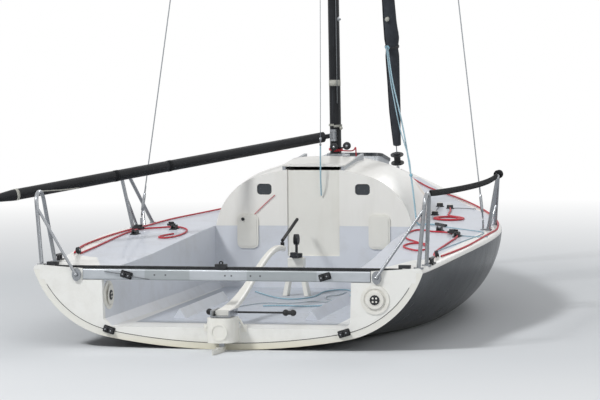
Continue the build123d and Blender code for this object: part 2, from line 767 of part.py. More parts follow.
tack = Vector(0, tack_along, tack_up)
stay_head = hounds + Vector(0, mast_depth / 2 + 4, 0)
stay_run = (stay_head - tack).normalized()
stay_length = (stay_head - tack).length
stay_tail = 24
stay_radius = 4
drum_height = 90
drum_radius = 52
drum_core = 26
export(tube([tack - stay_run * stay_tail, stay_head], stay_radius), "forestay")
stay_plane = Plane(origin=tack, z_dir=stay_run)
drum = extrude(stay_plane * Circle(drum_radius), amount=8)
drum += extrude(stay_plane * Circle(drum_core), amount=drum_height)
drum += extrude(stay_plane.offset(drum_height - 20) * Circle(drum_radius), amount=8)
drum -= extrude(stay_plane.offset(-10) * Circle(stay_radius + 1), amount=drum_height + 20)
export(drum, "furler_drum")
Roll = namedtuple("Roll", "run radius")
rolls = [
    Roll(drum_height + 60, 26),
    Roll(450, 45),
    Roll(1300, 54),
    Roll(stay_length * 0.5, 46),
    Roll(stay_length * 0.93, 20),
]
sail = loft([stay_plane.offset(roll.run) * Circle(roll.radius) for roll in rolls], ruled=True)
sail -= extrude(stay_plane * Circle(stay_radius + 1), amount=stay_length)
export(sail, "furled_jib")

# Stem fitting: a plate on edge with an eye for a shackle
stem_top = tack_up - stay_tail - gap
stem_eye_radius = 6.1
stem_eye_along = tack_along + 34
stem_eye_up = stem_top - 16
stem = box((-5, 5), (tack_along - 40, tack_along + 52), (stem_top - 60, stem_top))
stem += box((-24, 24), (tack_along - 60, tack_along + 60), (stem_top - 60, deck_up(0, tack_along) + 5))
stem -= deck_rim + Pos(0, stem_eye_along, stem_eye_up) * Rot(0, 90, 0) * Cylinder(stem_eye_radius, 40)
export(stem.solids().sort_by(Axis.Z)[-1], "stem_fitting")

# Boom and gooseneck
gooseneck = mast_at(gooseneck_up) + Vector(0, -mast_depth / 2 - 34, 0)
pin_radius = 8
fork = box((-20, 20), (gooseneck.Y - 16, gooseneck.Y + 44), (gooseneck_up - 42, gooseneck_up + 42))
fork -= box((-30, 30), (gooseneck.Y - 30, gooseneck.Y + 24), (gooseneck_up - 24, gooseneck_up + 24))
fork += Pos(0, gooseneck.Y, gooseneck_up) * Cylinder(pin_radius, 80)
export(fork - mast_sleeve, "gooseneck")
swing = radians(boom_swing)
droop = radians(boom_droop)
boom_run = Vector(-sin(swing) * cos(droop), -cos(swing) * cos(droop), -sin(droop))
side_run = Vector(cos(swing), -sin(swing), 0)
lift_reach = 64
lift_pin_radius = 5
toggle_plane = Plane(origin=gooseneck, x_dir=side_run, z_dir=boom_run)
toggle = Pos(*gooseneck) * Cylinder(18, 44)
toggle += toggle_plane.offset(lift_reach / 2 + 8) * Box(14, 32, lift_reach + 16)
toggle -= Pos(*gooseneck) * Cylinder(pin_radius + 0.05, 60)
lift_spot = toggle_plane.offset(lift_reach)
toggle -= lift_spot * Rot(0, 90, 0) * Cylinder(lift_pin_radius + 0.05, 30)
export(toggle, "boom_toggle")
boom_start = lift_reach + 34
tail_taper = 130
boom = extrude(
    toggle_plane.offset(boom_start) * Ellipse(boom_width / 2, boom_height / 2),
    amount=boom_length - boom_start - tail_taper,
)
boom += loft([
    toggle_plane.offset(boom_length - tail_taper) * Ellipse(boom_width / 2, boom_height / 2),
    toggle_plane.offset(boom_length) * Ellipse(boom_width * 0.4, boom_height * 0.34),
])
for cheek_side in (-1, 1):
    boom += lift_spot * Pos(cheek_side * 13, 0, 12) * Box(8, 30, 52)
boom += lift_spot * Rot(0, 90, 0) * Cylinder(lift_pin_radius, 34)
export(boom, "boom")

# Keel
fin_along = keel_along
fin_root_up = -118
saddle_up = bulb_radius * 0.55
saddle_clear = 8
fin_tip_up = -fin_draught + saddle_up
fin = loft([
    foil(fin_tip_chord, fin_thickness * 0.9, fin_tip_chord * 0.4, fin_along, fin_tip_up),
    foil(fin_root_chord, fin_thickness, fin_root_chord * 0.4, fin_along, fin_root_up),
])
export(fin - outer_canoe, "keel_fin")
nose = bulb_length * 0.42
tail = nose - bulb_length
aft_curve = Spline((0, tail), (bulb_radius * 0.6, tail * 0.62), (bulb_radius, 0), tangents=((1, 1), (0, 1)))
fore_curve = Spline((bulb_radius, 0), (bulb_radius * 0.72, nose * 0.68), (0, nose), tangents=((0, 1), (-1, 0)))
bulb = revolve(make_face([aft_curve, fore_curve, Line((0, nose), (0, tail))]), Axis.Y)
bulb = Pos(0, fin_along, -fin_draught) * bulb
saddle = box(
    (-fin_thickness / 2, fin_thickness / 2),
    (fin_along - 0.6 * fin_tip_chord - saddle_clear, fin_along + 0.4 * fin_tip_chord + saddle_clear),
    (fin_tip_up - gap, fin_tip_up + bulb_radius),
)
export(bulb - saddle, "keel_bulb")

# Deck gear: low sheet leads with a sheave each, and mooring cleats
Spot = namedtuple("Spot", "out along")
lead_spots = [Spot(930, 2230), Spot(1110, 1880)]
lead_height = 32
cheek_out = 15
leads = []
for spot in lead_spots:
    for name, side in sides:
        up = deck_up(spot.out, spot.along)
        lead = Pos(side * spot.out, spot.along, up + 1) * Box(46, 100, 10)
        for cheek_side in (-1, 1):
            lead += Pos(side * spot.out + cheek_side * cheek_out, spot.along, up) * Rot(0, 90, 0) * extrude(
                RectangleRounded(2 * lead_height, 64, 18), amount=3, both=True
            )
        lead += Pos(side * spot.out, spot.along, up + 14) * Rot(0, 90, 0) * Cylinder(12, 2 * cheek_out)
        leads.append(lead - deck_rim)
export(Compound(children=leads), "sheet_leads")
cleat_spots = [Spot(1195, 450), Spot(200, 4880)]
cleat_pieces = []
for spot in cleat_spots:
    for name, side in sides:
        up = deck_up(spot.out, spot.along)
        horn = Pos(side * spot.out, spot.along, up + 34) * Rot(90, 0, 0) * Cylinder(8, 150)
        for leg_along in (-28, 28):
            horn += Pos(side * spot.out, spot.along + leg_along, up + 15) * Cylinder(9, 30)
        horn += Pos(side * spot.out, spot.along, up) * Box(36, 100, 12)
        cleat_pieces.append(horn - deck_rim)
export(Compound(children=cleat_pieces), "mooring_cleats")
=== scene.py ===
import math

import bmesh
import bpy
import numpy as np
from mathutils import Matrix, Vector
from mathutils.bvhtree import BVHTree


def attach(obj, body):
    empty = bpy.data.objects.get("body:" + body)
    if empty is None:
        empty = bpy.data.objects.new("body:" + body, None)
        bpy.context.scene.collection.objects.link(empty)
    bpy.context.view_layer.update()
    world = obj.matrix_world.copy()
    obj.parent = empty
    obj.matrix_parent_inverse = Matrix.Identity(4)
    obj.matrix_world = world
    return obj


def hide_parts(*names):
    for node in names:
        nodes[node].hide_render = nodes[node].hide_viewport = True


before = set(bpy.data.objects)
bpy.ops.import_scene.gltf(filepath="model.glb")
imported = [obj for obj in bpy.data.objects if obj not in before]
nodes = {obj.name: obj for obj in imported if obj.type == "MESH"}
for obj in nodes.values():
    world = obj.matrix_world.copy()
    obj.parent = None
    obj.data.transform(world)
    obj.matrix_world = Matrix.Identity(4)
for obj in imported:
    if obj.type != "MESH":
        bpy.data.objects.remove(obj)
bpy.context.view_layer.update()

scene = bpy.context.scene
scene.view_settings.view_transform = "Standard"

# Camera, fitted with the stern's symmetry as the guide: place in metres, turns in radians, lens in mm
view = {
    "place": (4.268, -19.366, 1.908),
    "yaw": -0.224,
    "pitch": -0.058,
    "roll": -0.008,
    "lens": 170.24,
}


def aimCamera(name, place, yaw, pitch, roll, lens):
    # The turn's columns are right, up and back; yaw is from +Y, pitch from level, roll about the view line
    forward = Vector((math.sin(yaw) * math.cos(pitch), math.cos(yaw) * math.cos(pitch), math.sin(pitch)))
    level = Vector((math.cos(yaw), -math.sin(yaw), 0))
    upright = level.cross(forward)
    right = level * math.cos(roll) + upright * math.sin(roll)
    up = upright * math.cos(roll) - level * math.sin(roll)
    data = bpy.data.cameras.new(name)
    data.lens = lens
    data.sensor_width = 36
    data.clip_end = 400
    camera = bpy.data.objects.new(name, data)
    scene.collection.objects.link(camera)
    turn = Matrix((right, up, -forward)).transposed().to_4x4()
    camera.matrix_world = Matrix.Translation(place) @ turn
    scene.camera = camera


aimCamera("viewFromTheQuarter", **view)
print("camera placed")


# Shader helpers: a wire is a socket whose arithmetic adds Math nodes
class Wire:
    def __init__(self, shading, socket):
        self.shading = shading
        self.socket = socket

    def do(self, operation, *values):
        return self.shading.node("ShaderNodeMath", {"operation": operation}, dict(enumerate(values)))

    def __add__(self, other):
        return self.do("ADD", self, other)

    def __sub__(self, other):
        return self.do("SUBTRACT", self, other)

    def __rsub__(self, other):
        return self.do("SUBTRACT", other, self)

    def __mul__(self, other):
        return self.do("MULTIPLY", self, other)

    __radd__ = __add__
    __rmul__ = __mul__

    def size(self):
        return self.do("ABSOLUTE", self)

    def wave(self):
        return self.do("SINE", self)

    def least(self, other):
        return self.do("MINIMUM", self, other)

    def most(self, other):
        return self.do("MAXIMUM", self, other)

    def above(self, level, soft):
        # 0 below level - soft, 1 over level + soft, a straight ramp between
        return self.shading.node(
            "ShaderNodeMapRange", {"clamp": True},
            {"Value": self, "From Min": level - soft, "From Max": level + soft},
        )

    def below(self, level, soft):
        return 1.0 - self.above(level, soft)

    def within(self, low, high, soft):
        return self.above(low, soft) * self.below(high, soft)


class Shading:
    # The nodes of a material or the world: node() adds any node, feed() sets or links a socket
    def __init__(self, owner):
        owner.use_nodes = True
        self.tree = owner.node_tree

    def node(self, kind, settings=None, inputs=None, output=0):
        made = self.tree.nodes.new(kind)
        for key, value in (settings or {}).items():
            setattr(made, key, value)
        for key, value in (inputs or {}).items():
            if isinstance(key, int):
                socket = made.inputs[key]
            else:
                socket = next(s for s in made.inputs if key in (s.identifier, s.name))
            self.feed(socket, value)
        if isinstance(output, int):
            return Wire(self, made.outputs[output])
        return Wire(self, next(s for s in made.outputs if output in (s.identifier, s.name)))

    def feed(self, socket, value):
        if isinstance(value, Wire):
            self.tree.links.new(value.socket, socket)
        elif isinstance(value, tuple) and len(value) == 3 and socket.type == "RGBA":
            socket.default_value = (*value, 1.0)
        else:
            socket.default_value = value


class Finish(Shading):
    # One material: put() feeds its shader
    def __init__(self, name, **values):
        self.material = bpy.data.materials.new(name)
        super().__init__(self.material)
        self.shader = self.tree.nodes["Principled BSDF"]
        for key, value in values.items():
            self.put(key, value)
        space = self.tree.nodes.new("ShaderNodeTexCoord")
        self.place = Wire(self, space.outputs["Object"])
        self.facing = Wire(self, space.outputs["Normal"])
        self.uv = Wire(self, space.outputs["UV"])

    def put(self, key, value):
        self.feed(self.shader.inputs[key.replace("_", " ")], value)

    def split(self, wire):
        parts = self.tree.nodes.new("ShaderNodeSeparateXYZ")
        self.tree.links.new(wire.socket, parts.inputs[0])
        return [Wire(self, socket) for socket in parts.outputs]

    def mix(self, first, second, share):
        return self.node(
            "ShaderNodeMix", {"data_type": "RGBA"},
            {"Factor_Float": share, "A_Color": first, "B_Color": second}, "Result_Color",
        )

    def scaled(self, stretch):
        return self.node("ShaderNodeMapping", {}, {"Vector": self.place, "Scale": stretch})

    def noise(self, scale, detail=3.0, roughness=0.55, stretch=None):
        where = self.scaled(stretch) if stretch else self.place
        inputs = {"Vector": where, "Scale": scale, "Detail": detail, "Roughness": roughness}
        return self.node("ShaderNodeTexNoise", {}, inputs)

    def bump(self, height, distance, strength=1.0):
        self.put("Normal", self.node(
            "ShaderNodeBump", {}, {"Height": height, "Distance": distance, "Strength": strength}
        ))


def tone(red, green, blue):
    # The linear colour of a screen colour from 0 to 255
    return tuple((c / 255) ** 2.2 for c in (red, green, blue))


gelcoatShine = {"Coat_Weight": 0.25, "Coat_Roughness": 0.12}


def gelcoat(name, colour, grime, rough=0.28):
    # Glossy moulded surface: faint mottling, fine orange peel, grime that gathers in patches
    f = Finish(name, **gelcoatShine)
    stains = f.noise(3.5, 6.0, 0.62).above(0.60, 0.14)
    streaks = f.noise(7.0, 4.0, 0.6, (1.0, 1.0, 0.12)).above(0.62, 0.10)
    dirt = (stains * 0.5 + streaks * 0.5) * 0.16
    f.put("Base Color", f.mix(colour, grime, dirt))
    f.put("Roughness", rough + dirt * 0.5 + f.noise(40.0) * 0.06)
    f.bump(f.noise(260.0, 2.0) + f.noise(9.0) * 2.0, 0.0004, 0.35)
    return f


white = tone(233, 233, 229)
cream = tone(232, 229, 214)
deckGrey = tone(206, 211, 221)
grime = tone(158, 150, 132)


deckPlan = {
    "edge": (1.28, 0.030, -0.3),
    "bow": (1.475, 0.455),
    "margin": 0.052,
    "gripEnd": 2.62,
    "quarterEnd": -1.99,
    "quarterInner": (0.365, 1.754),
    "floorHalf": 0.64,
    "floorEnd": -2.45,
    "floorHeight": 0.24,
    "sideHeight": 0.40,
    "wallHalf": 0.86,
    "wallEnd": -2.66,
    "wallHeights": (0.12, 0.60),
    "sill": (-2.688, 0.05),
}


def deckFinish(p):
    # White gelcoat; grey non-skid on what looks up, with smooth margins and a smooth block at each quarter.
    # The cockpit's inner walls are painted grey-blue and its floor a darker blue-grey as painted shade.
    # The edge is at edge[0] - edge[1] * (y - edge[2]) ** 2 or at bow[0] - bow[1] * y, whichever is less
    f = Finish("deckGelcoat", **gelcoatShine)
    x, y, z = f.split(f.place)
    up = f.split(f.facing)[2]
    out = x.size()
    edge = p["edge"][0] - p["edge"][1] * (y - p["edge"][2]) * (y - p["edge"][2])
    edge = edge.least(p["bow"][0] - p["bow"][1] * y)
    flat = up.above(0.90, 0.03)
    slope, inner = p["quarterInner"]
    quarter = y.below(p["quarterEnd"], 0.008) * (out - slope * y).above(inner, 0.008)
    sideDeck = flat * (edge - out).above(p["margin"], 0.006) * z.above(p["sideHeight"], 0.02)
    sideDeck = sideDeck * y.below(p["gripEnd"], 0.01) * (1.0 - quarter)
    floor = flat * z.below(p["floorHeight"], 0.02) * y.above(p["floorEnd"], 0.01)
    floor = floor * out.below(p["floorHalf"], 0.006)
    shadedWalls = up.size().below(0.75, 0.05) * z.within(*p["wallHeights"], 0.01)
    shadedWalls = shadedWalls * out.below(p["wallHalf"], 0.01) * y.above(p["wallEnd"], 0.01)
    grip = sideDeck.most(floor)
    stipple = f.noise(420.0, 2.0, 0.7)
    # Painted shade: the cockpit walls take the side decks' grey, and the non-skid floor a darker blue-grey
    pale = f.mix(white, deckGrey, sideDeck.most(shadedWalls * 0.8))
    pale = f.mix(pale, tone(184, 190, 200), floor)
    scuff = f.noise(5.0, 7.0, 0.7).above(0.60, 0.12) * 0.16
    trodden = f.noise(24.0, 5.0, 0.7).above(0.62, 0.08) * floor * 0.35
    low = y.below(p["sill"][0], 0.004) * z.below(p["sill"][1], 0.04)
    dirty = f.mix(f.mix(pale, grime, scuff), tone(120, 116, 104), trodden)
    f.put("Base Color", f.mix(dirty, cream, low * 0.5))
    f.put("Roughness", 0.32 + grip * 0.40 + scuff * 0.3)
    f.bump(f.noise(9.0) * 0.8 + stipple * grip * 3.0, 0.0006, 0.5)
    return f.material


hullMarks = {"transom": -2.694, "scum": (-0.02, 0.035), "paintedReflectionOver": 0.22, "dullUnder": -0.005}


def hullFinish(marks):
    # Dark glossy topsides, darker towards the waterline as painted shade and lighter towards the sheer as a
    # painted reflection; a white transom edge that yellows at the waterline and a duller bottom
    f = Finish("hullGelcoat", Specular_IOR_Level=0.14)
    y, z = f.split(f.place)[1:]
    aft = y.below(marks["transom"], 0.003)
    dark = tone(52, 58, 64)
    shadedLowTone = tone(28, 31, 35)
    scum = z.within(*marks["scum"], 0.02) * f.noise(14.0, 5.0, 0.6, (1, 1, 3)).above(0.42, 0.2)
    streak = f.noise(9.0, 4.0, 0.5, (1.0, 1.0, 0.10)).above(0.60, 0.2) * 0.22
    # Painted light: the topsides darken towards the waterline as painted shade and lighten higher up as a
    # painted reflection
    side = f.mix(shadedLowTone, dark, z.above(marks["paintedReflectionOver"], 0.30))
    side = f.mix(side, tone(116, 118, 112), scum.most(streak * 0.3))
    rim = f.mix(tone(228, 227, 220), tone(214, 206, 172), z.below(0.05, 0.05) * 0.55)
    f.put("Base Color", f.mix(side, rim, aft))
    f.put("Roughness", 0.24 + z.below(marks["dullUnder"], 0.01) * 0.30 + streak * 0.25 + aft * 0.10)
    f.bump(f.noise(3.0, 2.0) + f.noise(240.0, 2.0) * 0.03, 0.004, 0.25)
    return f.material


def paintedSpar():
    # Black paint with long faint scratches and a dusty bloom
    f = Finish("sparPaint", Specular_IOR_Level=0.3)
    scratch = f.noise(90.0, 4.0, 0.6, (1.0, 1.0, 0.03)).above(0.66, 0.05)
    bloom = f.noise(5.0, 5.0).above(0.5, 0.2)
    f.put("Base Color", f.mix(tone(19, 21, 24), tone(62, 65, 70), scratch * 0.5 + bloom * 0.20))
    f.put("Roughness", 0.34 + bloom * 0.18)
    f.bump(f.noise(300.0, 2.0), 0.0003, 0.3)
    return f.material


def metal(name, colour, rough, grain=(1.0, 1.0, 1.0), worn=0.25):
    # Bare metal: brushed along one axis, with dull oxide patches
    f = Finish(name, Metallic=1.0)
    oxide = f.noise(18.0, 6.0, 0.65).above(0.55, 0.15) * worn
    brushed = f.noise(160.0, 3.0, 0.6, grain)
    f.put("Base Color", f.mix(colour, tuple(c * 0.62 for c in colour), oxide + brushed * 0.15))
    f.put("Roughness", rough + oxide * 0.5 + brushed * 0.08)
    f.bump(brushed, 0.00025, 0.35)
    return f.material


beamMarks = {
    "patches": ((-0.507, -0.223), (0.136, 0.571)),
    "screwPairs": ((-0.41, 0.035), (0.19, 0.030), (0.02, 0.020)),
    "screwHeight": 0.452,
}


def beamFinish(marks):
    # Anodised beam with two darker repair patches, as (start, end) along x, and pairs of screw heads,
    # as (middle, half the distance)
    f = Finish("beamAnodised", Metallic=0.55)
    x, y, z = f.split(f.place)
    first, second = (x.within(start, end, 0.004) for start, end in marks["patches"])
    patches = first.most(second)
    away = [((x - middle).size() - half).size() for middle, half in marks["screwPairs"]]
    spots = away[0].least(away[1]).least(away[2]).most((z - marks["screwHeight"]).size()).below(0.005, 0.001)
    brushed = f.noise(220.0, 3.0, 0.6, (0.04, 1.0, 1.0))
    dull = f.noise(9.0, 5.0, 0.6, (0.5, 1.0, 1.0)).above(0.52, 0.16)
    base = f.mix(tone(186, 191, 196), tone(158, 164, 166), patches * 0.8)
    base = f.mix(base, tone(140, 146, 150), dull * 0.35)
    f.put("Base Color", f.mix(base, tone(96, 98, 100), spots))
    f.put("Roughness", 0.36 + brushed * 0.12 + dull * 0.12)
    f.bump(brushed + spots * 2.0 - patches * 0.6, 0.0004, 0.35)
    return f.material


def plastic(name, colour, rough, dust):
    # Moulded plastic that greys where dust and sun reach it
    f = Finish(name, Specular_IOR_Level=0.35)
    faded = f.noise(22.0, 5.0, 0.6).above(0.5, 0.2) * 0.35
    f.put("Base Color", f.mix(colour, dust, faded))
    f.put("Roughness", rough + faded * 0.3)
    f.bump(f.noise(420.0, 2.0), 0.0003, 0.4)
    return f.material


def smokedAcrylic():
    # Dark tinted pane with fine crazing
    f = Finish("smokedAcrylic", IOR=1.49)
    craze = f.noise(60.0, 6.0, 0.7).above(0.62, 0.05)
    f.put("Base Color", f.mix(tone(60, 64, 68), tone(120, 124, 126), craze * 0.25))
    f.put("Roughness", 0.10 + craze * 0.25)
    f.bump(craze, 0.0002, 0.2)
    return f.material


def ropeFinish(name, first, second, turns=60.0):
    # Braid on the rope's own map: two diagonal sets of strands cross, flecked with a second colour, with
    # painted shade in the hollows between the strands
    f = Finish(name, Roughness=0.75, Sheen_Weight=0.2)
    along, around = f.split(f.uv)[:2]
    rise = (along * turns + around * 2.0).wave()
    fall = (along * turns - around * 2.0).wave()
    strands = rise * fall
    fleck = (along * turns * 0.5 + around).wave().above(0.55, 0.1)
    # Painted shade: half the rope's colour where the strands dip
    paintedHollowShade = tuple(c * 0.5 for c in first)
    f.put("Base Color", f.mix(f.mix(first, second, fleck), paintedHollowShade, strands.below(-0.2, 0.4) * 0.5))
    f.bump(strands, 0.0006, 0.8)
    return f.material


def clothFinish(name, colour, fold, threads=5200.0):
    # Woven cloth on the piece's own map, with creases and a faded bloom
    f = Finish(name, Roughness=0.85, Specular_IOR_Level=0.25)
    along, around = f.split(f.uv)[:2]
    weave = (along * threads).wave() * (around * threads).wave()
    bloom = f.noise(7.0, 6.0, 0.65).above(0.5, 0.18)
    f.put("Base Color", f.mix(colour, fold, bloom * 0.45))
    f.bump(weave * 0.25 + f.noise(16.0, 5.0, 0.6, (1.0, 1.0, 0.35)) * 4.0, 0.0012, 0.8)
    return f.material


roofTanPatch = {"place": (0.62, 0.60, 0.81), "stretch": (1.0, 0.4, 1.0), "fall": 90.0}


def roofFinish(tanPatch):
    # White gelcoat with a tan patch low on the starboard side: 1 - fall * (stretched distance) ** 2
    ivory = tone(236, 235, 230)
    f = gelcoat("roofGelcoat", ivory, grime)
    parts = []
    for axis, middle, stretch in zip(f.split(f.place), tanPatch["place"], tanPatch["stretch"]):
        parts.append((axis - middle) * (axis - middle) * stretch)
    away = (parts[0] + parts[1] + parts[2]) * tanPatch["fall"]
    tanShare = (1.0 - away - f.noise(18.0, 5.0, 0.6) * 0.5).above(0.30, 0.20) * 0.55
    streaks = f.noise(7.0, 4.0, 0.6, (1.0, 1.0, 0.12)).above(0.62, 0.10) * 0.10
    f.put("Base Color", f.mix(f.mix(ivory, grime, streaks), tone(186, 150, 108), tanShare))
    return f.material


finishes = {
    "spar": paintedSpar(),
    "deck": deckFinish(deckPlan),
    "hull": hullFinish(hullMarks),
    "roof": roofFinish(roofTanPatch),
    "board": gelcoat("boardPaint", tone(230, 229, 222), grime, 0.4).material,
    "blade": gelcoat("bladeGelcoat", tone(228, 227, 220), grime, 0.22).material,
    "beam": beamFinish(beamMarks),
    "alloy": metal("castAlloy", tone(176, 180, 184), 0.38, (1.0, 0.2, 1.0)),
    "steel": metal("polishedSteel", tone(158, 161, 165), 0.20, (1.0, 1.0, 0.05), 0.20),
    "wire": metal("wireSteel", tone(150, 154, 158), 0.32, (1.0, 1.0, 0.3)),
    "blackAlloy": plastic("blackAnodised", tone(30, 31, 33), 0.32, tone(86, 88, 92)),
    "black": plastic("blackNylon", tone(28, 29, 31), 0.5, tone(82, 84, 88)),
    "darkLid": smokedAcrylic(),
    "whitePlastic": plastic("whiteNylon", tone(233, 232, 226), 0.35, tone(196, 192, 180)),
    "keel": plastic("keelPaint", tone(58, 62, 66), 0.35, tone(88, 92, 94)),
    "grip": plastic("gripRubber", tone(24, 24, 25), 0.7, tone(60, 60, 62)),
    "redRope": ropeFinish("redBraid", tone(196, 26, 48), tone(226, 70, 88)),
    "blueRope": ropeFinish("blueBraid", tone(140, 188, 208), tone(206, 226, 232)),
    "greyRope": ropeFinish("greyBraid", tone(122, 126, 130), tone(70, 74, 80)),
    "whiteRope": ropeFinish("whiteBraid", tone(214, 216, 214), tone(120, 170, 200)),
    "blackRope": ropeFinish("blackBraid", tone(30, 31, 34), tone(66, 68, 72)),
    "webbing": clothFinish("blackWebbing", tone(20, 21, 23), tone(40, 42, 45)),
    "sail": clothFinish("sunStripCloth", tone(52, 55, 60), tone(84, 88, 94)),
    "tape": clothFinish("paleTape", tone(186, 186, 178), tone(150, 150, 142)),
}
cadPieces = {
    "hull": ("hull",),
    "deck": ("deck",),
    "roof": ("coachroof", "sliding_hatch"),
    "board": ("washboard", "bulkhead_lockers", "rudder_housing", "tiller", "mainsheet_pedestal"),
    "blade": ("rudder_blade",),
    "darkLid": ("cabin_ports", "fore_hatch"),
    "beam": ("traveller_beam",),
    "alloy": ("hatch_runners", "fore_hatch_frame", "mast_step"),
    "blackAlloy": ("traveller_track", "mooring_cleats"),
    "black": ("track_stops", "traveller_car", "cam_cleats", "cross_bar", "swivel_cleat", "ratchet_block",
              "furler_drum", "sheet_leads"),
    "whitePlastic": ("inspection_hatches",),
    "steel": ("rudder_head", "stern_hoop_port", "stern_hoop_starboard", "side_hoop_port",
              "side_hoop_starboard", "chainplates", "stem_fitting", "gooseneck", "boom_toggle"),
    "grip": ("tiller_joint", "tiller_extension"),
    "spar": ("mast", "spreaders", "boom"),
    "wire": ("shrouds", "forestay"),
    "sail": ("furled_jib",),
    "keel": ("keel_fin", "keel_bulb"),
}
for finish, names in cadPieces.items():
    for name in names:
        nodes[name].data.materials.clear()
        nodes[name].data.materials.append(finishes[finish])
print("finishes made")


def meshPiece(name, points, faces, finish, body="root", uv=None, smooth=True):
    # One mesh object; uv holds a place on the map for each point
    mesh = bpy.data.meshes.new(name)
    mesh.from_pydata(np.asarray(points, float).reshape(-1, 3).tolist(), [], faces)
    if uv is not None:
        layer = mesh.uv_layers.new(name="map")
        corners = np.zeros(len(mesh.loops), dtype=np.int32)
        mesh.loops.foreach_get("vertex_index", corners)
        layer.data.foreach_set("uv", np.asarray(uv, np.float32).reshape(-1, 2)[corners].ravel())
    mesh.polygons.foreach_set("use_smooth", np.full(len(mesh.polygons), smooth))
    mesh.materials.append(finishes[finish])
    mesh.validate()
    piece = bpy.data.objects.new(name, mesh)
    scene.collection.objects.link(piece)
    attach(piece, body)
    return piece


def gridFaces(rows, columns, closed):
    # Quads of a grid; closed joins the last column to the first
    row = np.arange(rows - 1)[:, None]
    column = np.arange(columns if closed else columns - 1)[None, :]
    after = (column + 1) % columns
    quads = np.stack([
        row * columns + column, row * columns + after,
        (row + 1) * columns + after, (row + 1) * columns + column,
    ], -1)
    return quads.reshape(-1, 4).tolist()


def smoothLine(route):
    # The route's own NURBS line, read back as a row of points
    curve = bpy.data.curves.new("route", "CURVE")
    curve.dimensions = "3D"
    spline = curve.splines.new("NURBS")
    spline.points.add(len(route) - 1)
    spline.points.foreach_set("co", [float(c) for spot in route for c in (*spot, 1.0)])
    spline.order_u = 3
    spline.use_endpoint_u = True
    spline.resolution_u = 12
    carrier = bpy.data.objects.new("route", curve)
    mesh = bpy.data.meshes.new_from_object(carrier)
    line = np.zeros(len(mesh.vertices) * 3)
    mesh.vertices.foreach_get("co", line)
    bpy.data.objects.remove(carrier)
    bpy.data.curves.remove(curve)
    bpy.data.meshes.remove(mesh)
    return line.reshape(-1, 3)


def carried(line):
    # At each point of a line: two vectors across it, carried on with as little turn as possible
    tangent = np.gradient(line, axis=0)
    tangent /= np.linalg.norm(tangent, axis=1)[:, None]
    side = np.cross(tangent[0], (0.0, 0.0, 1.0) if abs(tangent[0][2]) < 0.9 else (1.0, 0.0, 0.0))
    first = np.zeros_like(line)
    for step, direction in enumerate(tangent):
        side = side - direction * side.dot(direction)
        side /= np.linalg.norm(side)
        first[step] = side
    return first, np.cross(tangent, first)


mapPerMetre = 20.0  # of a rope's map, along its length


def tubeAlong(name, line, radius, finish, sides, flat=1.0):
    # Rings round the line, a fan at each end: centre + radius * (cos a * first + flat * sin a * second)
    first, second = carried(line)
    angle = np.linspace(0, 2 * np.pi, sides, endpoint=False)
    ring = np.cos(angle)[:, None] * first[:, None, :] + flat * np.sin(angle)[:, None] * second[:, None, :]
    grid = line[:, None, :] + radius * ring
    run = mapPerMetre * np.concatenate([[0], np.cumsum(np.linalg.norm(np.diff(line, axis=0), axis=1))])
    uv = np.stack(np.broadcast_arrays(run[:, None], angle[None, :]), -1)
    points = np.concatenate([grid.reshape(-1, 3), line[:1], line[-1:]])
    uv = np.concatenate([uv.reshape(-1, 2), [[0, 0], [run[-1], 0]]])
    faces = gridFaces(len(line), sides, True)
    start, end = len(points) - 2, len(points) - 1
    last = (len(line) - 1) * sides
    faces += [[start, (i + 1) % sides, i] for i in range(sides)]
    faces += [[end, last + i, last + (i + 1) % sides] for i in range(sides)]
    return meshPiece(name, points, faces, finish, "root", uv)


def closeAndFaceOut(piece):
    # Points that meet become one, and every face looks outwards
    work = bmesh.new()
    work.from_mesh(piece.data)
    bmesh.ops.remove_doubles(work, verts=work.verts, dist=1e-5)
    bmesh.ops.recalc_face_normals(work, faces=work.faces)
    work.to_mesh(piece.data)
    work.free()


def lathe(name, profile, centre, axis, finish, sides=20):
    # A profile of (distance from the axis, height along it) turned once round; its ends close on the axis
    profile = np.asarray(profile, float)
    axis = np.asarray(axis, float) / np.linalg.norm(axis)
    helper = np.array([1.0, 0, 0]) if abs(axis[0]) < 0.9 else np.array([0, 1.0, 0])
    first = np.cross(axis, helper)
    first /= np.linalg.norm(first)
    second = np.cross(axis, first)
    angle = np.linspace(0, 2 * np.pi, sides, endpoint=False)
    ring = np.cos(angle)[:, None] * first + np.sin(angle)[:, None] * second
    grid = np.asarray(centre) + profile[:, 0, None, None] * ring[None] + profile[:, 1, None, None] * axis
    closeAndFaceOut(meshPiece(name, grid, gridFaces(len(profile), sides, True), finish))


def slab(name, outline, thickness, centre, across, along, finish, edge):
    # A flat outline on two directions, given a thickness and bevelled edges
    outline = np.asarray(outline, float)
    across, along = (np.asarray(v, float) / np.linalg.norm(v) for v in (across, along))
    flat = np.asarray(centre) + outline[:, :1] * across + outline[:, 1:] * along
    count = len(outline)
    points = np.concatenate([flat, flat + np.cross(across, along) * thickness])
    faces = [list(range(count))[::-1], list(range(count, 2 * count))]
    faces += [[i, (i + 1) % count, count + (i + 1) % count, count + i] for i in range(count)]
    piece = meshPiece(name, points, faces, finish, smooth=False)
    bevel = piece.modifiers.new("edges", "BEVEL")
    bevel.width = edge
    bevel.segments = 2
    bevel.limit_method = "ANGLE"
    closeAndFaceOut(piece)


def ovalBand(name, ends, across, upward, halves, proud, finish, body):
    # Four rings of 40 points round a spar: out of its wall at one end of the band, and back in at the other
    angle = np.linspace(0, 2 * np.pi, 40, endpoint=False)[:, None]
    rows = []
    for end, gap in ((0, -0.001), (0, proud), (1, proud), (1, -0.001)):
        wide, tall = halves[0] + gap, halves[1] + gap
        rows.append(ends[end] + wide * np.cos(angle) * across + tall * np.sin(angle) * upward)
    closeAndFaceOut(meshPiece(name, np.array(rows), gridFaces(4, 40, True), finish, body))


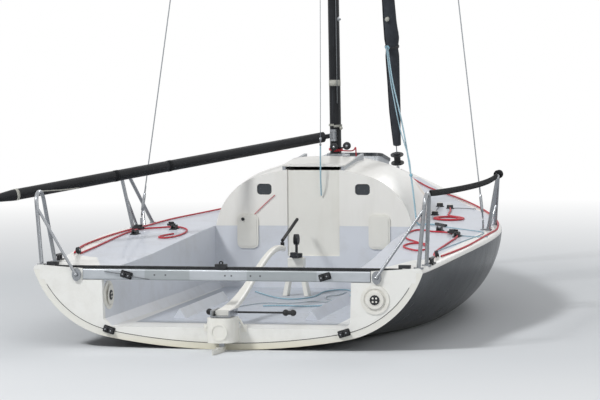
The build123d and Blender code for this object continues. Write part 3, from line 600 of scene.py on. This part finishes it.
def roundedOutline(width, height, radius, steps=6):
    # Corner arcs of a rounded rectangle, counter-clockwise
    turns = np.linspace(0, np.pi / 2, steps)
    corners = []
    for quarter, (sx, sy) in enumerate(((1, 1), (-1, 1), (-1, -1), (1, -1))):
        angle = turns + quarter * np.pi / 2
        middle = np.array([sx * (width / 2 - radius), sy * (height / 2 - radius)])
        corners.append(middle + radius * np.stack([np.cos(angle), np.sin(angle)], -1))
    return np.concatenate(corners)


def flutedOutline(radius, depth, flutes, steps):
    # A round outline whose radius is radius + depth * cos(flutes * angle)
    angle = np.linspace(0, 2 * np.pi, steps, endpoint=False)
    rim = radius + depth * np.cos(flutes * angle)
    return np.stack([rim * np.cos(angle), rim * np.sin(angle)], -1)


def cadPoints(name):
    # A CAD node's mesh points as rows of x, y, z
    mesh = nodes[name].data
    points = np.zeros(len(mesh.vertices) * 3)
    mesh.vertices.foreach_get("co", points)
    return points.reshape(-1, 3)


def searchTree(name):
    # A tree of a CAD node's faces that a ray can meet
    faces = [list(p.vertices) for p in nodes[name].data.polygons]
    return BVHTree.FromPolygons([tuple(p) for p in cadPoints(name)], faces)


deckTrees = [searchTree(name) for name in ("deck", "coachroof", "hull")]


def under(x, y):
    # Heights of the deck, roof and hull under a place
    spots = [tree.ray_cast(Vector((x, y, 3.0)), Vector((0, 0, -1)))[0] for tree in deckTrees]
    return [spot.z for spot in spots if spot is not None]


def top(x, y):
    # The highest surface under a place
    return max(under(x, y))


def onDeck(places, lift):
    # Each (x, y) place as a point over the deck; a place past the deck's edge comes 20 mm inside it
    points = []
    for x, y in places:
        if not under(x, y):
            x = next(x * share for share in np.linspace(1.0, 0.85, 61) if under(x * share, y))
            x -= 0.020 * np.sign(x)
        points.append((x, y, top(x, y) + lift))
    return points


print("helpers ready")


# Furled headsail: one sheet wound round the stay, looser low down, with a bulge above its tie.
# Heights are along the stay from the tack, in metres
headsail = {
    "tack": (0.0, 2.890, 0.880),
    "stayRun": (0.0, -0.33524, 0.94214),
    "heights": (0.16, 0.45, 0.75, 1.00, 1.35, 2.20, 3.90, 6.90, 7.20),
    "radii": (0.032, 0.047, 0.053, 0.058, 0.052, 0.049, 0.041, 0.022, 0.019),
    "core": 0.006,
    "turnHeights": (0.16, 1.35, 7.20),
    "turns": (10.6, 10.6, 3.2),
    "aside": 0.024,
    "asideHeights": (0.3, 1.0, 3.0, 6.0),
    "asideShares": (0.3, 1.0, 0.6, 0.0),
    "tie": 0.985,
    "tieWidth": 0.035,
    "bulgeAboveTie": 0.09,
    "bulgeWidth": 0.07,
    "swell": 0.16,
    "lobeTurn": 0.4,
    "creases": ((9.0, 1, 0.012), (17.0, -2, 0.008)),
    "rows": 150,
    "perTurn": 36,
}
abeam = np.array([1.0, 0.0, 0.0])
stayRun = np.array(headsail["stayRun"])
stayAhead = np.cross(stayRun, abeam)


def windHeadsail(h):
    # radius = core + (outer - core) * share of the turns, so that the leech climbs slowly as a spiral;
    # the swell adds a lobe over the tie, a waist at it and two slow waves, each as its rate along the stay,
    # its rate round it and its depth
    height = np.linspace(h["heights"][0], h["heights"][-1], h["rows"])
    outer = np.interp(height, h["heights"], h["radii"])
    turns = np.interp(height, h["turnHeights"], h["turns"])
    columns = int(turns.max() * h["perTurn"])
    share = np.linspace(0, 1, columns)
    angle = 2 * np.pi * turns[:, None] * share
    tie = np.exp(-((height - h["tie"]) / h["tieWidth"]) ** 2)[:, None]
    bulge = np.exp(-((height - h["tie"] - h["bulgeAboveTie"]) / h["bulgeWidth"]) ** 2)[:, None]
    lobe = 0.5 + 0.5 * np.cos(angle - h["lobeTurn"])
    high = height[:, None]
    crease = sum(np.sin(high * along + turn * angle) * depth for along, turn, depth in h["creases"])
    swell = 1 + crease + h["swell"] * (bulge * lobe - tie)
    radius = (h["core"] + (outer[:, None] - h["core"]) * share) * swell
    centre = np.array(h["tack"]) + high * stayRun
    centre[:, 0] += h["aside"] * np.interp(height, h["asideHeights"], h["asideShares"])
    ring = np.cos(angle)[..., None] * abeam + np.sin(angle)[..., None] * stayAhead
    grid = centre[:, None, :] + radius[..., None] * ring
    steps = np.linalg.norm(np.diff(grid, axis=1), axis=2)
    width = np.concatenate([np.zeros((len(height), 1)), np.cumsum(steps, axis=1)], axis=1)
    uv = np.stack([width, np.broadcast_to(high, width.shape)], -1)
    piece = meshPiece("furledHeadsail", grid, gridFaces(len(height), columns, False), "sail", "root", uv)
    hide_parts("furled_jib")


windHeadsail(headsail)


# Ropes and small fittings. All routes and places are in metres from the origin
def rope(name, route, radius, finish, sides=10, flat=1.0):
    # A tube on the route's own smooth line
    line = smoothLine(route)
    return tubeAlong(name, line, radius, finish, sides, flat), line


def wheelBlock(name, centre, axis, radius, width):
    # Two cheeks with a sheave's groove between, as shares of the radius and half width, and a steel hub
    half, hub = width / 2, radius * 0.34
    cheeks = [(0, -1), (0.8, -1), (1, -0.7), (1, -0.35), (0.8, -0.2)]
    cheeks += [(share, -height) for share, height in reversed(cheeks)]
    lathe(name + "Cheeks", np.array(cheeks) * (radius, half), centre, axis, "black", 28)
    face = [(0, -half - 0.002), (hub * 0.7, -half - 0.002), (hub, -half - 0.0004)]
    face += [(reach, -height) for reach, height in reversed(face)]
    lathe(name + "Hub", face, centre, axis, "steel")


def swivelPad(name, x, y):
    # Low round swivel: a flange with a drum, and a pale ring on it round a dark centre
    centre = (x, y, top(x, y))
    drum = [(0, -0.004), (0.029, -0.004), (0.030, 0.003), (0.024, 0.006), (0.023, 0.022), (0.020, 0.026)]
    drum += [(0, 0.026)]
    ring = [(0.010, 0.0262), (0.017, 0.0262), (0.0175, 0.029), (0.0105, 0.0292), (0.010, 0.0262)]
    lathe(name + "Drum", drum, centre, (0, 0, 1), "black", 32)
    lathe(name + "Ring", ring, centre, (0, 0, 1), "whitePlastic", 32)


swivels = {"swivelFore": (0.656, 1.107), "swivelOuter": (0.744, 1.028), "swivelAft": (0.712, 0.581)}
for name, (x, y) in swivels.items():
    swivelPad(name, x, y)

quarterBlock = {"place": (1.170, -1.930), "lift": 0.024, "radius": 0.023, "width": 0.022}
for board, side in (("Starboard", 1), ("Port", -1)):
    x, y = quarterBlock["place"]
    spot = (side * x, y, top(side * x, y) + quarterBlock["lift"])
    leaning = (0.9, 0.1 * side, 0.25)
    wheelBlock("quarterBlock" + board, spot, leaning, quarterBlock["radius"], quarterBlock["width"])

# Taut lines that lie on the deck: radius, finish and (x, y) places
braid, thin, twine = 0.0058, 0.0030, 0.0022
deckLines = {
    "sheetOuterStarboard": (braid, "redRope", (
        (0.030, 2.800), (0.090, 2.690), (0.230, 2.40), (0.417, 2.024), (0.566, 1.84), (0.736, 1.603),
        (0.93, 1.22), (1.10, 0.75), (1.235, 0.30), (1.300, -0.02), (1.306, -0.35), (1.300, -0.70),
        (1.286, -1.363), (1.225, -1.80), (1.197, -1.925))),
    "sheetInnerStarboard": (braid, "redRope", (
        (1.158, -1.925), (1.112, -1.774), (1.118, -1.336), (1.126, -0.90), (1.112, -0.80))),
    "sheetOuterPort": (braid, "redRope", (
        (-0.030, 2.800), (-0.090, 2.690), (-0.230, 2.40), (-0.417, 2.024), (-0.566, 1.84), (-0.80, 1.45),
        (-1.02, 0.85), (-1.158, 0.298), (-1.170, -0.02), (-1.180, -0.30), (-1.215, -0.52), (-1.244, -0.969),
        (-1.257, -1.502), (-1.225, -1.80), (-1.197, -1.925))),
    "sheetInnerPort": (braid, "redRope", (
        (-1.158, -1.925), (-1.153, -1.506), (-1.181, -0.826), (-1.166, -0.58), (-1.150, -0.509),
        (-1.043, -0.433), (-0.978, -0.358), (-0.90, -0.40))),
    "clewLineStarboard": (thin, "blueRope", (
        (0.932, -0.223), (1.088, -0.373), (1.235, -0.530), (1.268, -0.64), (1.193, -1.195), (1.128, -1.541),
        (1.110, -1.70))),
    "strop": (thin, "blueRope", ((1.115, -0.773), (1.259, -0.90), (1.318, -0.84))),
    "swivelLineOuter": (twine, "greyRope", ((0.744, 1.028), (0.839, 1.105), (0.915, 1.085))),
    "swivelLineFore": (twine, "greyRope", ((0.656, 1.107), (0.668, 0.85), (0.712, 0.581))),
}
for name, (radius, finish, places) in deckLines.items():
    rope(name, onDeck(places, radius + 0.001), radius, finish)


gripPlan = {
    "lift": 0.010, "width": 0.036, "tall": 0.016, "round": 0.010,
    "jawWidth": 0.013, "jawShare": 1.1, "jawTall": 0.012, "jawAside": 0.011,
}


def gripBox(name, x, y, half, heading):
    # A base that lies along its line and two jaws that stand on it
    g = gripPlan
    along = np.array([*heading, 0.0]) / np.linalg.norm(heading)
    across = np.array([along[1], -along[0], 0.0])
    base = np.array([x, y, top(x, y) + g["lift"]])
    outline = roundedOutline(g["width"], 2 * half, g["round"])
    slab(name + "Base", outline, g["tall"], base, across, along, "black", 0.003)
    jaw = roundedOutline(g["jawWidth"], half * g["jawShare"], 0.005)
    for side in (-1, 1):
        spot = base + across * side * g["jawAside"] + np.array([0, 0, g["tall"]])
        slab(name + "Jaw" + str(side), jaw, g["jawTall"], spot, across, along, "black", 0.002)


# Boxes that grip a line: middle x and y, half length, heading over the deck
gripBox("gripStarboard", 1.067, -0.705, 0.066, (0.6, -0.8))
gripBox("gripPort", -1.164, -0.556, 0.045, (0.8, -0.3))
gripBox("gripPortInner", -0.990, -0.330, 0.028, (0.7, 0.6))

# Headsail sheets: from the clew down past the cabin's corner to the side deck, where a sleeve takes the end
sleeveRoute = onDeck(((0.841, -0.102), (0.885, -0.160), (0.932, -0.223)), 0.012)
jibSheetRoute = [
    (0.010, 2.452, 1.803), (0.133, 1.95, 1.592), (0.291, 1.40, 1.384), (0.413, 0.95, 1.235),
    (0.517, 0.55, 1.084), (0.626, 0.12, 0.927), (0.687, -0.10, 0.779), (0.713, -0.17, 0.640),
    *onDeck(((0.722, -0.160), (0.755, -0.100), (0.800, -0.092), (0.841, -0.102)), braid + 0.001),
]
twinRoute = (
    (0.000, 2.448, 1.815), (0.120, 1.95, 1.600), (0.268, 1.40, 1.385), (0.388, 0.95, 1.228),
    (0.499, 0.56, 1.120), (0.575, 0.33, 1.030), (0.606, 0.21, 0.962), (0.624, 0.125, 0.930),
)
rope("sheetSleeve", sleeveRoute, 0.011, "blackRope")
rope("jibSheet", jibSheetRoute, braid, "blueRope")
rope("jibSheetTwin", twinRoute, 0.0042, "blueRope")

# Loose tails on the side decks and in the cockpit, as (x, y) places on what they lie on
starboardTail = (
    (1.050, -0.672), (1.008, -0.590), (0.895, -0.560), (0.800, -0.440), (0.752, -0.480), (0.741, -0.766),
    (0.800, -0.98), (0.869, -1.090), (0.982, -1.305), (1.045, -1.500), (0.985, -1.585), (0.915, -1.490),
    (0.839, -1.352), (0.850, -1.225), (0.915, -1.190), (0.968, -1.235), (0.985, -1.262),
)
portTail = (
    (-0.905, -0.40), (-0.850, -0.470), (-0.800, -0.60), (-0.775, -0.80), (-0.800, -0.98), (-0.860, -1.05),
    (-0.905, -0.99), (-0.880, -0.88), (-0.845, -0.80),
)
furlingCoil = {
    "lead": ((0.751, 0.996), (0.766, 0.930), (0.788, 0.780), (0.800, 0.620), (0.822, 0.520)),
    "middle": (0.851, 0.345),
    "reach": (0.115, 0.135),
    "turns": 3.3,
    "shrink": 0.095,
    "start": 0.25,
}
floorRoute = (
    (-0.336, -0.560), (-0.260, -0.690), (-0.175, -0.840), (-0.030, -1.030), (0.085, -1.020), (0.150, -0.830),
    (0.130, -0.530), (0.178, -0.380), (0.281, -0.360), (0.350, -0.560), (0.385, -0.950), (0.380, -1.350),
    (0.290, -1.430), (0.183, -1.461), (0.052, -1.415), (-0.060, -1.470),
)
thinFloorRoute = (
    (-0.300, -1.620), (-0.205, -1.510), (-0.150, -1.330), (-0.060, -1.250), (0.030, -1.300), (0.120, -1.240),
    (0.190, -1.130), (0.300, -1.190), (0.330, -1.060), (0.240, -0.960), (0.215, -0.800), (0.300, -0.700),
    (0.290, -0.520),
)


def coiledRoute(coil):
    # A lead-in and a flat spiral with 10 points a turn: reach * (1 - shrink * turns so far)
    angle = np.linspace(0, 2 * np.pi * coil["turns"], int(10 * coil["turns"]))
    share = 1 - coil["shrink"] * angle / (2 * np.pi)
    x = coil["middle"][0] + coil["reach"][0] * share * np.sin(angle + coil["start"])
    y = coil["middle"][1] + coil["reach"][1] * share * np.cos(angle + coil["start"])
    return [*coil["lead"], *zip(x, y)]


def layTail(name, places, radius, finish):
    # A limp line that rests on the deck or the cockpit floor and ends bare
    piece, line = rope(name, onDeck(places, radius + 0.001), radius, finish)


layTail("sheetTailStarboard", starboardTail, braid, "redRope")
layTail("sheetTailPort", portTail, braid, "redRope")
layTail("furlingTail", coiledRoute(furlingCoil), braid, "redRope")
layTail("cockpitRope", floorRoute, 0.0045, "blueRope")
layTail("cockpitRopeThin", thinFloorRoute, 0.0035, "whiteRope")

# Lifelines between the hoops: wide black webbing to starboard, thin cord to port
webbingRoute = (
    (1.318, -0.436, 0.952), (1.318, -0.60, 0.936), (1.315, -1.10, 0.929), (1.280, -1.70, 0.931),
    (1.240, -2.30, 0.940), (1.229, -2.486, 0.948),
)
portLifeline = (
    (-1.318, -0.436, 0.950), (-1.310, -0.75, 0.928), (-1.306, -1.2, 0.914), (-1.287, -1.7, 0.918),
    (-1.245, -2.25, 0.940), (-1.229, -2.486, 0.950),
)
bundle = {"middle": (1.318, -0.405, 0.958), "reach": 0.017, "turns": 3.4, "advance": 0.012}


def bundledTurns(b):
    # Turns round the hoop's tube that advance along y
    x, y, z = b["middle"]
    angle = np.linspace(0, 2 * np.pi * b["turns"], 60)
    x = x + b["reach"] * np.cos(angle)
    z = z + b["reach"] * np.sin(angle)
    return np.stack([x, y + b["advance"] * angle / b["turns"], z], -1)


rope("lifelineStarboard", webbingRoute, 0.007, "webbing", sides=14, flat=2.8)
rope("lifelinePort", portLifeline, 0.0035, "tape")
rope("lifelineBundle", bundledTurns(bundle), 0.0125, "webbing")

# Mast gear: two turning blocks aft of the foot, lashings, halyards and bands
mastPlan = {"heel": (0.0, 0.540, 1.060), "rake": 2.5, "halves": (0.040, 0.053)}
mastRake = math.radians(mastPlan["rake"])


def byMast(height, aside=0.0, ahead=0.0, higher=0.0):
    # The mast's centre at a height over the waterline, moved aside, ahead and up
    heel = mastPlan["heel"]
    climb = height - heel[2]
    return np.array([heel[0] + aside, heel[1] - math.tan(mastRake) * climb + ahead, height + higher])


def roundMast(height, gap, turns):
    # An oval round the mast, gap outside its wall, that climbs 9 mm a turn
    angle = np.linspace(0, 2 * np.pi * turns, int(28 * turns) + 1)
    wide, deep = (half + gap for half in mastPlan["halves"])
    return [byMast(height, wide * math.sin(a), -deep * math.cos(a), 0.009 * a / (2 * math.pi)) for a in angle]


def mastBand(name, height, tall):
    # A band whose middle is at a height over the waterline
    ends = byMast(height - tall / 2), byMast(height + tall / 2)
    ovalBand(name, ends, abeam, np.array([0.0, 1.0, 0.0]), mastPlan["halves"], 0.0015, "tape", "root")


def stayTie(h, radius, turns):
    # Turns round the roll at its tie that climb along the stay
    centre = np.array(h["tack"]) + h["tie"] * stayRun + h["aside"] * abeam
    angle = np.linspace(0, 2 * np.pi * turns, 50)
    rings = np.cos(angle)[:, None] * abeam + np.sin(angle)[:, None] * stayAhead
    return centre + radius * rings + 0.0012 * angle[:, None] * stayRun


wheelBlock("halyardBlockPort", (0.015, 0.404, 1.112), (0, 1, 0.1), 0.028, 0.024)
wheelBlock("halyardBlockStarboard", (0.106, 0.420, 1.118), (0, 1, 0.1), 0.028, 0.024)
mastBand("mastBandLow", 1.566, 0.043)
mastBand("mastBandMid", 4.40, 0.030)
mastBand("mastBandTop", 9.05, 0.040)

# Lines of the rig and the track: radius, finish and route
rigLines = {
    "blockLinkStarboard": (0.006, "blackRope", (
        (0.106, 0.434, 1.118), (0.082, 0.462, 1.108), (0.050, 0.500, 1.100), (0.037, 0.515, 1.098))),
    "blockLinkPort": (0.006, "blackRope", (
        (0.015, 0.416, 1.112), (0.014, 0.440, 1.110), (0.012, 0.500, 1.108))),
    "footLashing": (0.0048, "redRope", roundMast(1.078, 0.006, 2)),
    "redHalyardTail": (0.0048, "redRope", (
        (0.044, 0.500, 1.082), (0.106, 0.482, 1.078), (0.145, 0.478, 1.082), (0.159, 0.476, 1.112),
        (0.160, 0.478, 1.070), (0.162, 0.482, top(0.162, 0.482) + 0.006))),
    "neckLashing": (0.0036, "tape", roundMast(1.252, 0.005, 2)),
    "mainHalyardFall": (0.003, "greyRope", (
        byMast(1.42, 0.030, -0.062), byMast(5.0, 0.030, -0.060), byMast(9.30, 0.020, -0.060))),
    "halyardTie": (0.005, "blueRope", (
        (0.064, -0.265, 1.144), (0.0635, -0.266, 1.05), (0.0625, -0.262, 0.92), (0.060, -0.236, 0.84),
        (0.058, -0.222, 0.80))),
    "rollTie": (0.0045, "blackRope", stayTie(headsail, 0.0535, 2)),
    "trackLinePort": (0.0028, "greyRope", (
        (-0.760, -2.712, 0.470), (-0.683, -2.716, 0.462), (-0.587, -2.718, 0.440), (-0.475, -2.708, 0.424))),
}
for name, (radius, finish, route) in rigLines.items():
    rope(name, route, radius, finish)

# Parked halyard's wire, and the short line on the bulkhead
parkedHalyard = ((0.010, 0.085, 9.30), (0.040, -0.08, 5.70), (0.069, -0.26, 1.737), (0.064, -0.265, 1.200))
rope("parkedHalyard", parkedHalyard, 0.0024, "wire", sides=8)
bulkheadLine = ((-0.430, -0.226, 0.655), (-0.365, -0.227, 0.720), (-0.272, -0.226, 0.802))
rope("bulkheadLine", bulkheadLine, 0.0025, "redRope", sides=8)

# Small turned fittings: profile of distance from the axis and height, place, axis, finish and sides
knot = np.array([(0, -0.020), (0.010, -0.017), (0.017, -0.006), (0.016, 0.006), (0.010, 0.016), (0, 0.020)])
neckKnot = ((0, -0.012), (0.008, -0.010), (0.0125, -0.002), (0.0125, 0.004), (0.007, 0.011), (0, 0.012))
mastEye = ((0, 0), (0.016, 0), (0.017, 0.003), (0.010, 0.006), (0.009, 0.016), (0.006, 0.019), (0, 0.019))
deckEye = (
    (0, -0.003), (0.012, -0.003), (0.013, 0.002), (0.009, 0.004), (0.008, 0.010), (0.005, 0.013), (0, 0.013),
)
shackle = (
    (0, -0.030), (0.005, -0.028), (0.0075, -0.018), (0.0045, -0.006), (0.0045, 0.006), (0.008, 0.014),
    (0.0085, 0.024), (0.004, 0.031), (0, 0.031),
)
knob = ((0, 0), (0.011, 0), (0.012, 0.006), (0.009, 0.011), (0, 0.012))
bowSpot = (0.0, 2.800, top(0.0, 2.800) + 0.017)
eyeSpot = (0.915, 1.085, top(0.915, 1.085))
turnedFittings = {
    "neckKnot": (neckKnot, byMast(1.246, 0.047, -0.030, -0.004), (0.6, 0.2, 1), "tape", 16),
    "mastEye": (mastEye, byMast(2.02, 0.037, -0.018), (1, -0.4, 0), "steel", 20),
    "halyardShackle": (shackle, (0.064, -0.265, 1.172), (0.004, 0.001, 1), "steel", 18),
    "sheetKnot": (knot * 0.7, (0.627, 0.115, 0.925), (0.3, -0.8, -0.7), "blueRope", 18),
    "bowKnot": (knot * 1.1, bowSpot, (1, 0, 0), "redRope", 18),
    "deckEye": (deckEye, eyeSpot, (0, 0, 1), "steel", 20),
    "rollKnot": (knot, (0.014, 2.418, 2.028), (0.5, 0.2, 1), "tape", 18),
    "clewKnot": (knot, (0.004, 2.470, 1.806), (1, -0.3, -0.3), "blueRope", 18),
    "lockerKnob": (knob, (-0.499, -0.234, 0.634), (0, -1, 0), "black", 20),
}
for name, (profile, place, axis, finish, sides) in turnedFittings.items():
    lathe(name, profile, place, axis, finish, sides)

# Straps round the boom, from its pose and its half sizes
boomPlan = {"gooseneck": (0.0, 0.446, 1.193), "swing": 34, "droop": 6, "halves": (0.029, 0.037)}
swing, droop = math.radians(boomPlan["swing"]), math.radians(boomPlan["droop"])
boomRun = np.array([-math.sin(swing) * math.cos(droop), -math.cos(swing) * math.cos(droop), -math.sin(droop)])
boomSide = np.array([-math.cos(swing), math.sin(swing), 0.0])


def boomStrap(name, reach, wide, finish):
    # A band round the boom, its middle at a reach from the gooseneck
    ends = [np.array(boomPlan["gooseneck"]) + boomRun * (reach + share * wide) for share in (-0.5, 0.5)]
    ovalBand(name, ends, boomSide, np.cross(boomSide, boomRun), boomPlan["halves"], 0.0016, finish, "boom")


boomStrap("boomStrapAft", 2.02, 0.030, "webbing")
boomStrap("boomStrapFore", 1.55, 0.030, "webbing")
boomStrap("boomStrapEnd", 2.86, 0.022, "tape")

# Turnbuckles on the shrouds over the chainplates
turnbuckle = {
    "foot": (1.206, -0.331, 0.650),
    "aim": (0.66, 0.20, 5.0),
    "profile": (
        (0, 0.010), (0.0055, 0.012), (0.0055, 0.045), (0.0095, 0.050), (0.0105, 0.075), (0.0105, 0.140),
        (0.0095, 0.165), (0.0055, 0.170), (0.0055, 0.215), (0.0035, 0.222), (0, 0.224)),
}
for board, side in (("Port", -1), ("Starboard", 1)):
    foot, aim = (np.array(turnbuckle[end]) * (side, 1, 1) for end in ("foot", "aim"))
    lathe("turnbuckle" + board, turnbuckle["profile"], foot, aim - foot, "steel")

# Round black knobs of the two hatches: a fluted rim on a pale seat, with four pale recesses
hatchKnob = {
    "rim": 0.030, "flute": 0.001, "flutes": 16, "thick": 0.010, "sunk": 0.002, "seatSunk": 0.001,
    "recessAt": 0.015, "recessOut": 0.007,
    "seat": ((0, 0), (0.056, 0), (0.058, 0.0025), (0.052, 0.004), (0.034, 0.003), (0, 0.003)),
    "recess": ((0, 0.0005), (0.0055, 0.0005), (0.0060, 0.0016), (0.0045, 0.0020), (0, 0.0012)),
}


def placeKnob(name, centre, facing):
    k = hatchKnob
    centre, facing, upright = np.array(centre), np.array(facing, float), np.array([0, 0, 1.0])
    across = np.cross(upright, facing)
    outline = flutedOutline(k["rim"], k["flute"], k["flutes"], 96)
    slab(name, outline, k["thick"], centre - facing * k["sunk"], across, upright, "black", 0.002)
    lathe(name + "Seat", k["seat"], centre - facing * k["seatSunk"], facing, "whitePlastic", 40)
    for quarter in range(4):
        turn = math.pi / 4 + quarter * math.pi / 2
        aside = math.cos(turn) * across + math.sin(turn) * upright
        spot = centre + facing * k["recessOut"] + k["recessAt"] * aside
        lathe(name + "Recess" + str(quarter), k["recess"], spot, facing, "whitePlastic", 16)


placeKnob("hatchKnobAft", (0.929, -2.712, 0.316), (0, -1, 0))
placeKnob("hatchKnobInner", (-0.760, -2.590, 0.316), (1, 0, 0))


# Dark seam on the transom, along the points that the hull's rim and the deck moulding share there
def seamPoints(face, rimTop, touch, spacing):
    rims = []
    for name in ("deck", "hull"):
        points = cadPoints(name)
        aft = points[(points[:, 1] < face) & (points[:, 2] < rimTop)]
        rims.append(np.unique(aft.round(4), axis=0))
    apart = np.linalg.norm(rims[0][:, None, :] - rims[1][None, :, :], axis=2).min(axis=1)
    shared = rims[0][apart < touch]
    shared = shared[np.argsort(shared[:, 0])]
    return shared[np.concatenate([[True], np.diff(shared[:, 0]) > spacing])]


seam = seamPoints(face=-2.6985, rimTop=0.414, touch=0.004, spacing=0.006)
tubeAlong("transomSeam", seam + np.array([0, -0.0008, 0]), 0.0016, "grip", 8)

# Two ribbed cams, each with a steel pin, on the transom's four cleats; a place is the middle of a face
cam = {
    "places": (
        (-0.622, -2.726, 0.452), (0.622, -2.726, 0.452), (-0.738, -2.722, 0.112), (0.738, -2.722, 0.112)),
    "radius": 0.0145, "rib": 0.0012, "ribs": 13, "apart": 0.018, "lean": 0.30, "thick": 0.012,
    "sunk": 0.001, "pinOut": 0.0115,
    "pin": ((0, 0), (0.005, 0), (0.005, 0.002), (0.0035, 0.003), (0, 0.003)),
}
camOutline = flutedOutline(cam["radius"], cam["rib"], cam["ribs"], 52)
for number, place in enumerate(cam["places"]):
    lean = cam["lean"] * np.sign(place[0])
    across = np.array([math.cos(lean), 0.0, math.sin(lean)])
    upward = np.array([-math.sin(lean), 0.0, math.cos(lean)])
    for side in (-1, 1):
        spot = np.array(place) + np.array([0, cam["sunk"], 0]) + across * side * cam["apart"]
        slab(f"cam{number}Jaw{side}", camOutline, cam["thick"], spot, across, upward, "blackAlloy", 0.0012)
        pin = spot - np.array([0, cam["pinOut"], 0])
        lathe(f"cam{number}Pin{side}", cam["pin"], pin, (0, -1, 0), "steel", 16)
print("ropes and fittings laid")


# Floor at the waterline, pale world and soft lamps
studio = {
    "floorSize": 160.0,
    "floorTone": tone(222, 225, 228),
    "fade": (3.5, 13.0),
    "ambient": 0.37,
    "aim": (0, -1.2, 0.5),
    "lamps": (
        ("keySoft", (-8.0, -13.0, 14.0), 3.2, 2150.0),
        ("fillSoft", (12.0, -13.0, 7.0), 8.0, 420.0),
        ("backSoft", (4.0, 14.0, 11.0), 7.0, 620.0),
    ),
}


def layFloor(s):
    # One flat square at z = 0; to the camera it turns into the white background with distance from the boat
    half = s["floorSize"] / 2
    mesh = bpy.data.meshes.new("waterlineFloor")
    corners = [(-half, -half, 0), (half, -half, 0), (half, half, 0), (-half, half, 0)]
    mesh.from_pydata(corners, [], [(0, 1, 2, 3)])
    floor = bpy.data.objects.new("waterlineFloor", mesh)
    scene.collection.objects.link(floor)
    f = Finish("floorPale", Roughness=0.9, Specular_IOR_Level=0.1)
    f.put("Base Color", f.mix(s["floorTone"], tone(214, 218, 222), f.noise(0.35, 3.0)))
    near, far = s["fade"]
    away = f.node("ShaderNodeVectorMath", {"operation": "LENGTH"}, {0: f.place}, "Value")
    seen = f.node("ShaderNodeLightPath", output="Is Camera Ray")
    share = away.above((near + far) / 2, (far - near) / 2) * seen
    blank = f.node("ShaderNodeEmission", {}, {"Color": (1.0, 1.0, 1.0), "Strength": 1.0})
    shader = Wire(f, f.shader.outputs[0])
    mixed = f.node("ShaderNodeMixShader", {}, {0: share, 1: shader, 2: blank})
    f.feed(f.tree.nodes["Material Output"].inputs["Surface"], mixed)
    mesh.materials.append(f.material)


def lightWorld(s):
    # White where the camera, a mirror or glass sees it, and a low even light for all else
    scene.world = bpy.data.worlds.new("softWorld")
    w = Shading(scene.world)
    kinds = "Is Camera Ray", "Is Glossy Ray", "Is Transmission Ray"
    camera, glossy, through = (w.node("ShaderNodeLightPath", output=kind) for kind in kinds)
    seen = camera.most(glossy).most(through)
    back = w.tree.nodes["Background"]
    w.feed(back.inputs["Color"], (1.0, 1.0, 1.0))
    w.feed(back.inputs["Strength"], s["ambient"] + seen * (1.0 - s["ambient"]))


def hangLamps(s):
    # Square lamps that face the aim: name, place, size and power
    for name, place, size, power in s["lamps"]:
        data = bpy.data.lights.new(name, "AREA")
        data.size = size
        data.energy = power
        lamp = bpy.data.objects.new(name, data)
        scene.collection.objects.link(lamp)
        lamp.location = place
        lamp.rotation_euler = (Vector(s["aim"]) - Vector(place)).to_track_quat("-Z", "Y").to_euler()


layFloor(studio)
lightWorld(studio)
hangLamps(studio)
print("floor and lamps set")
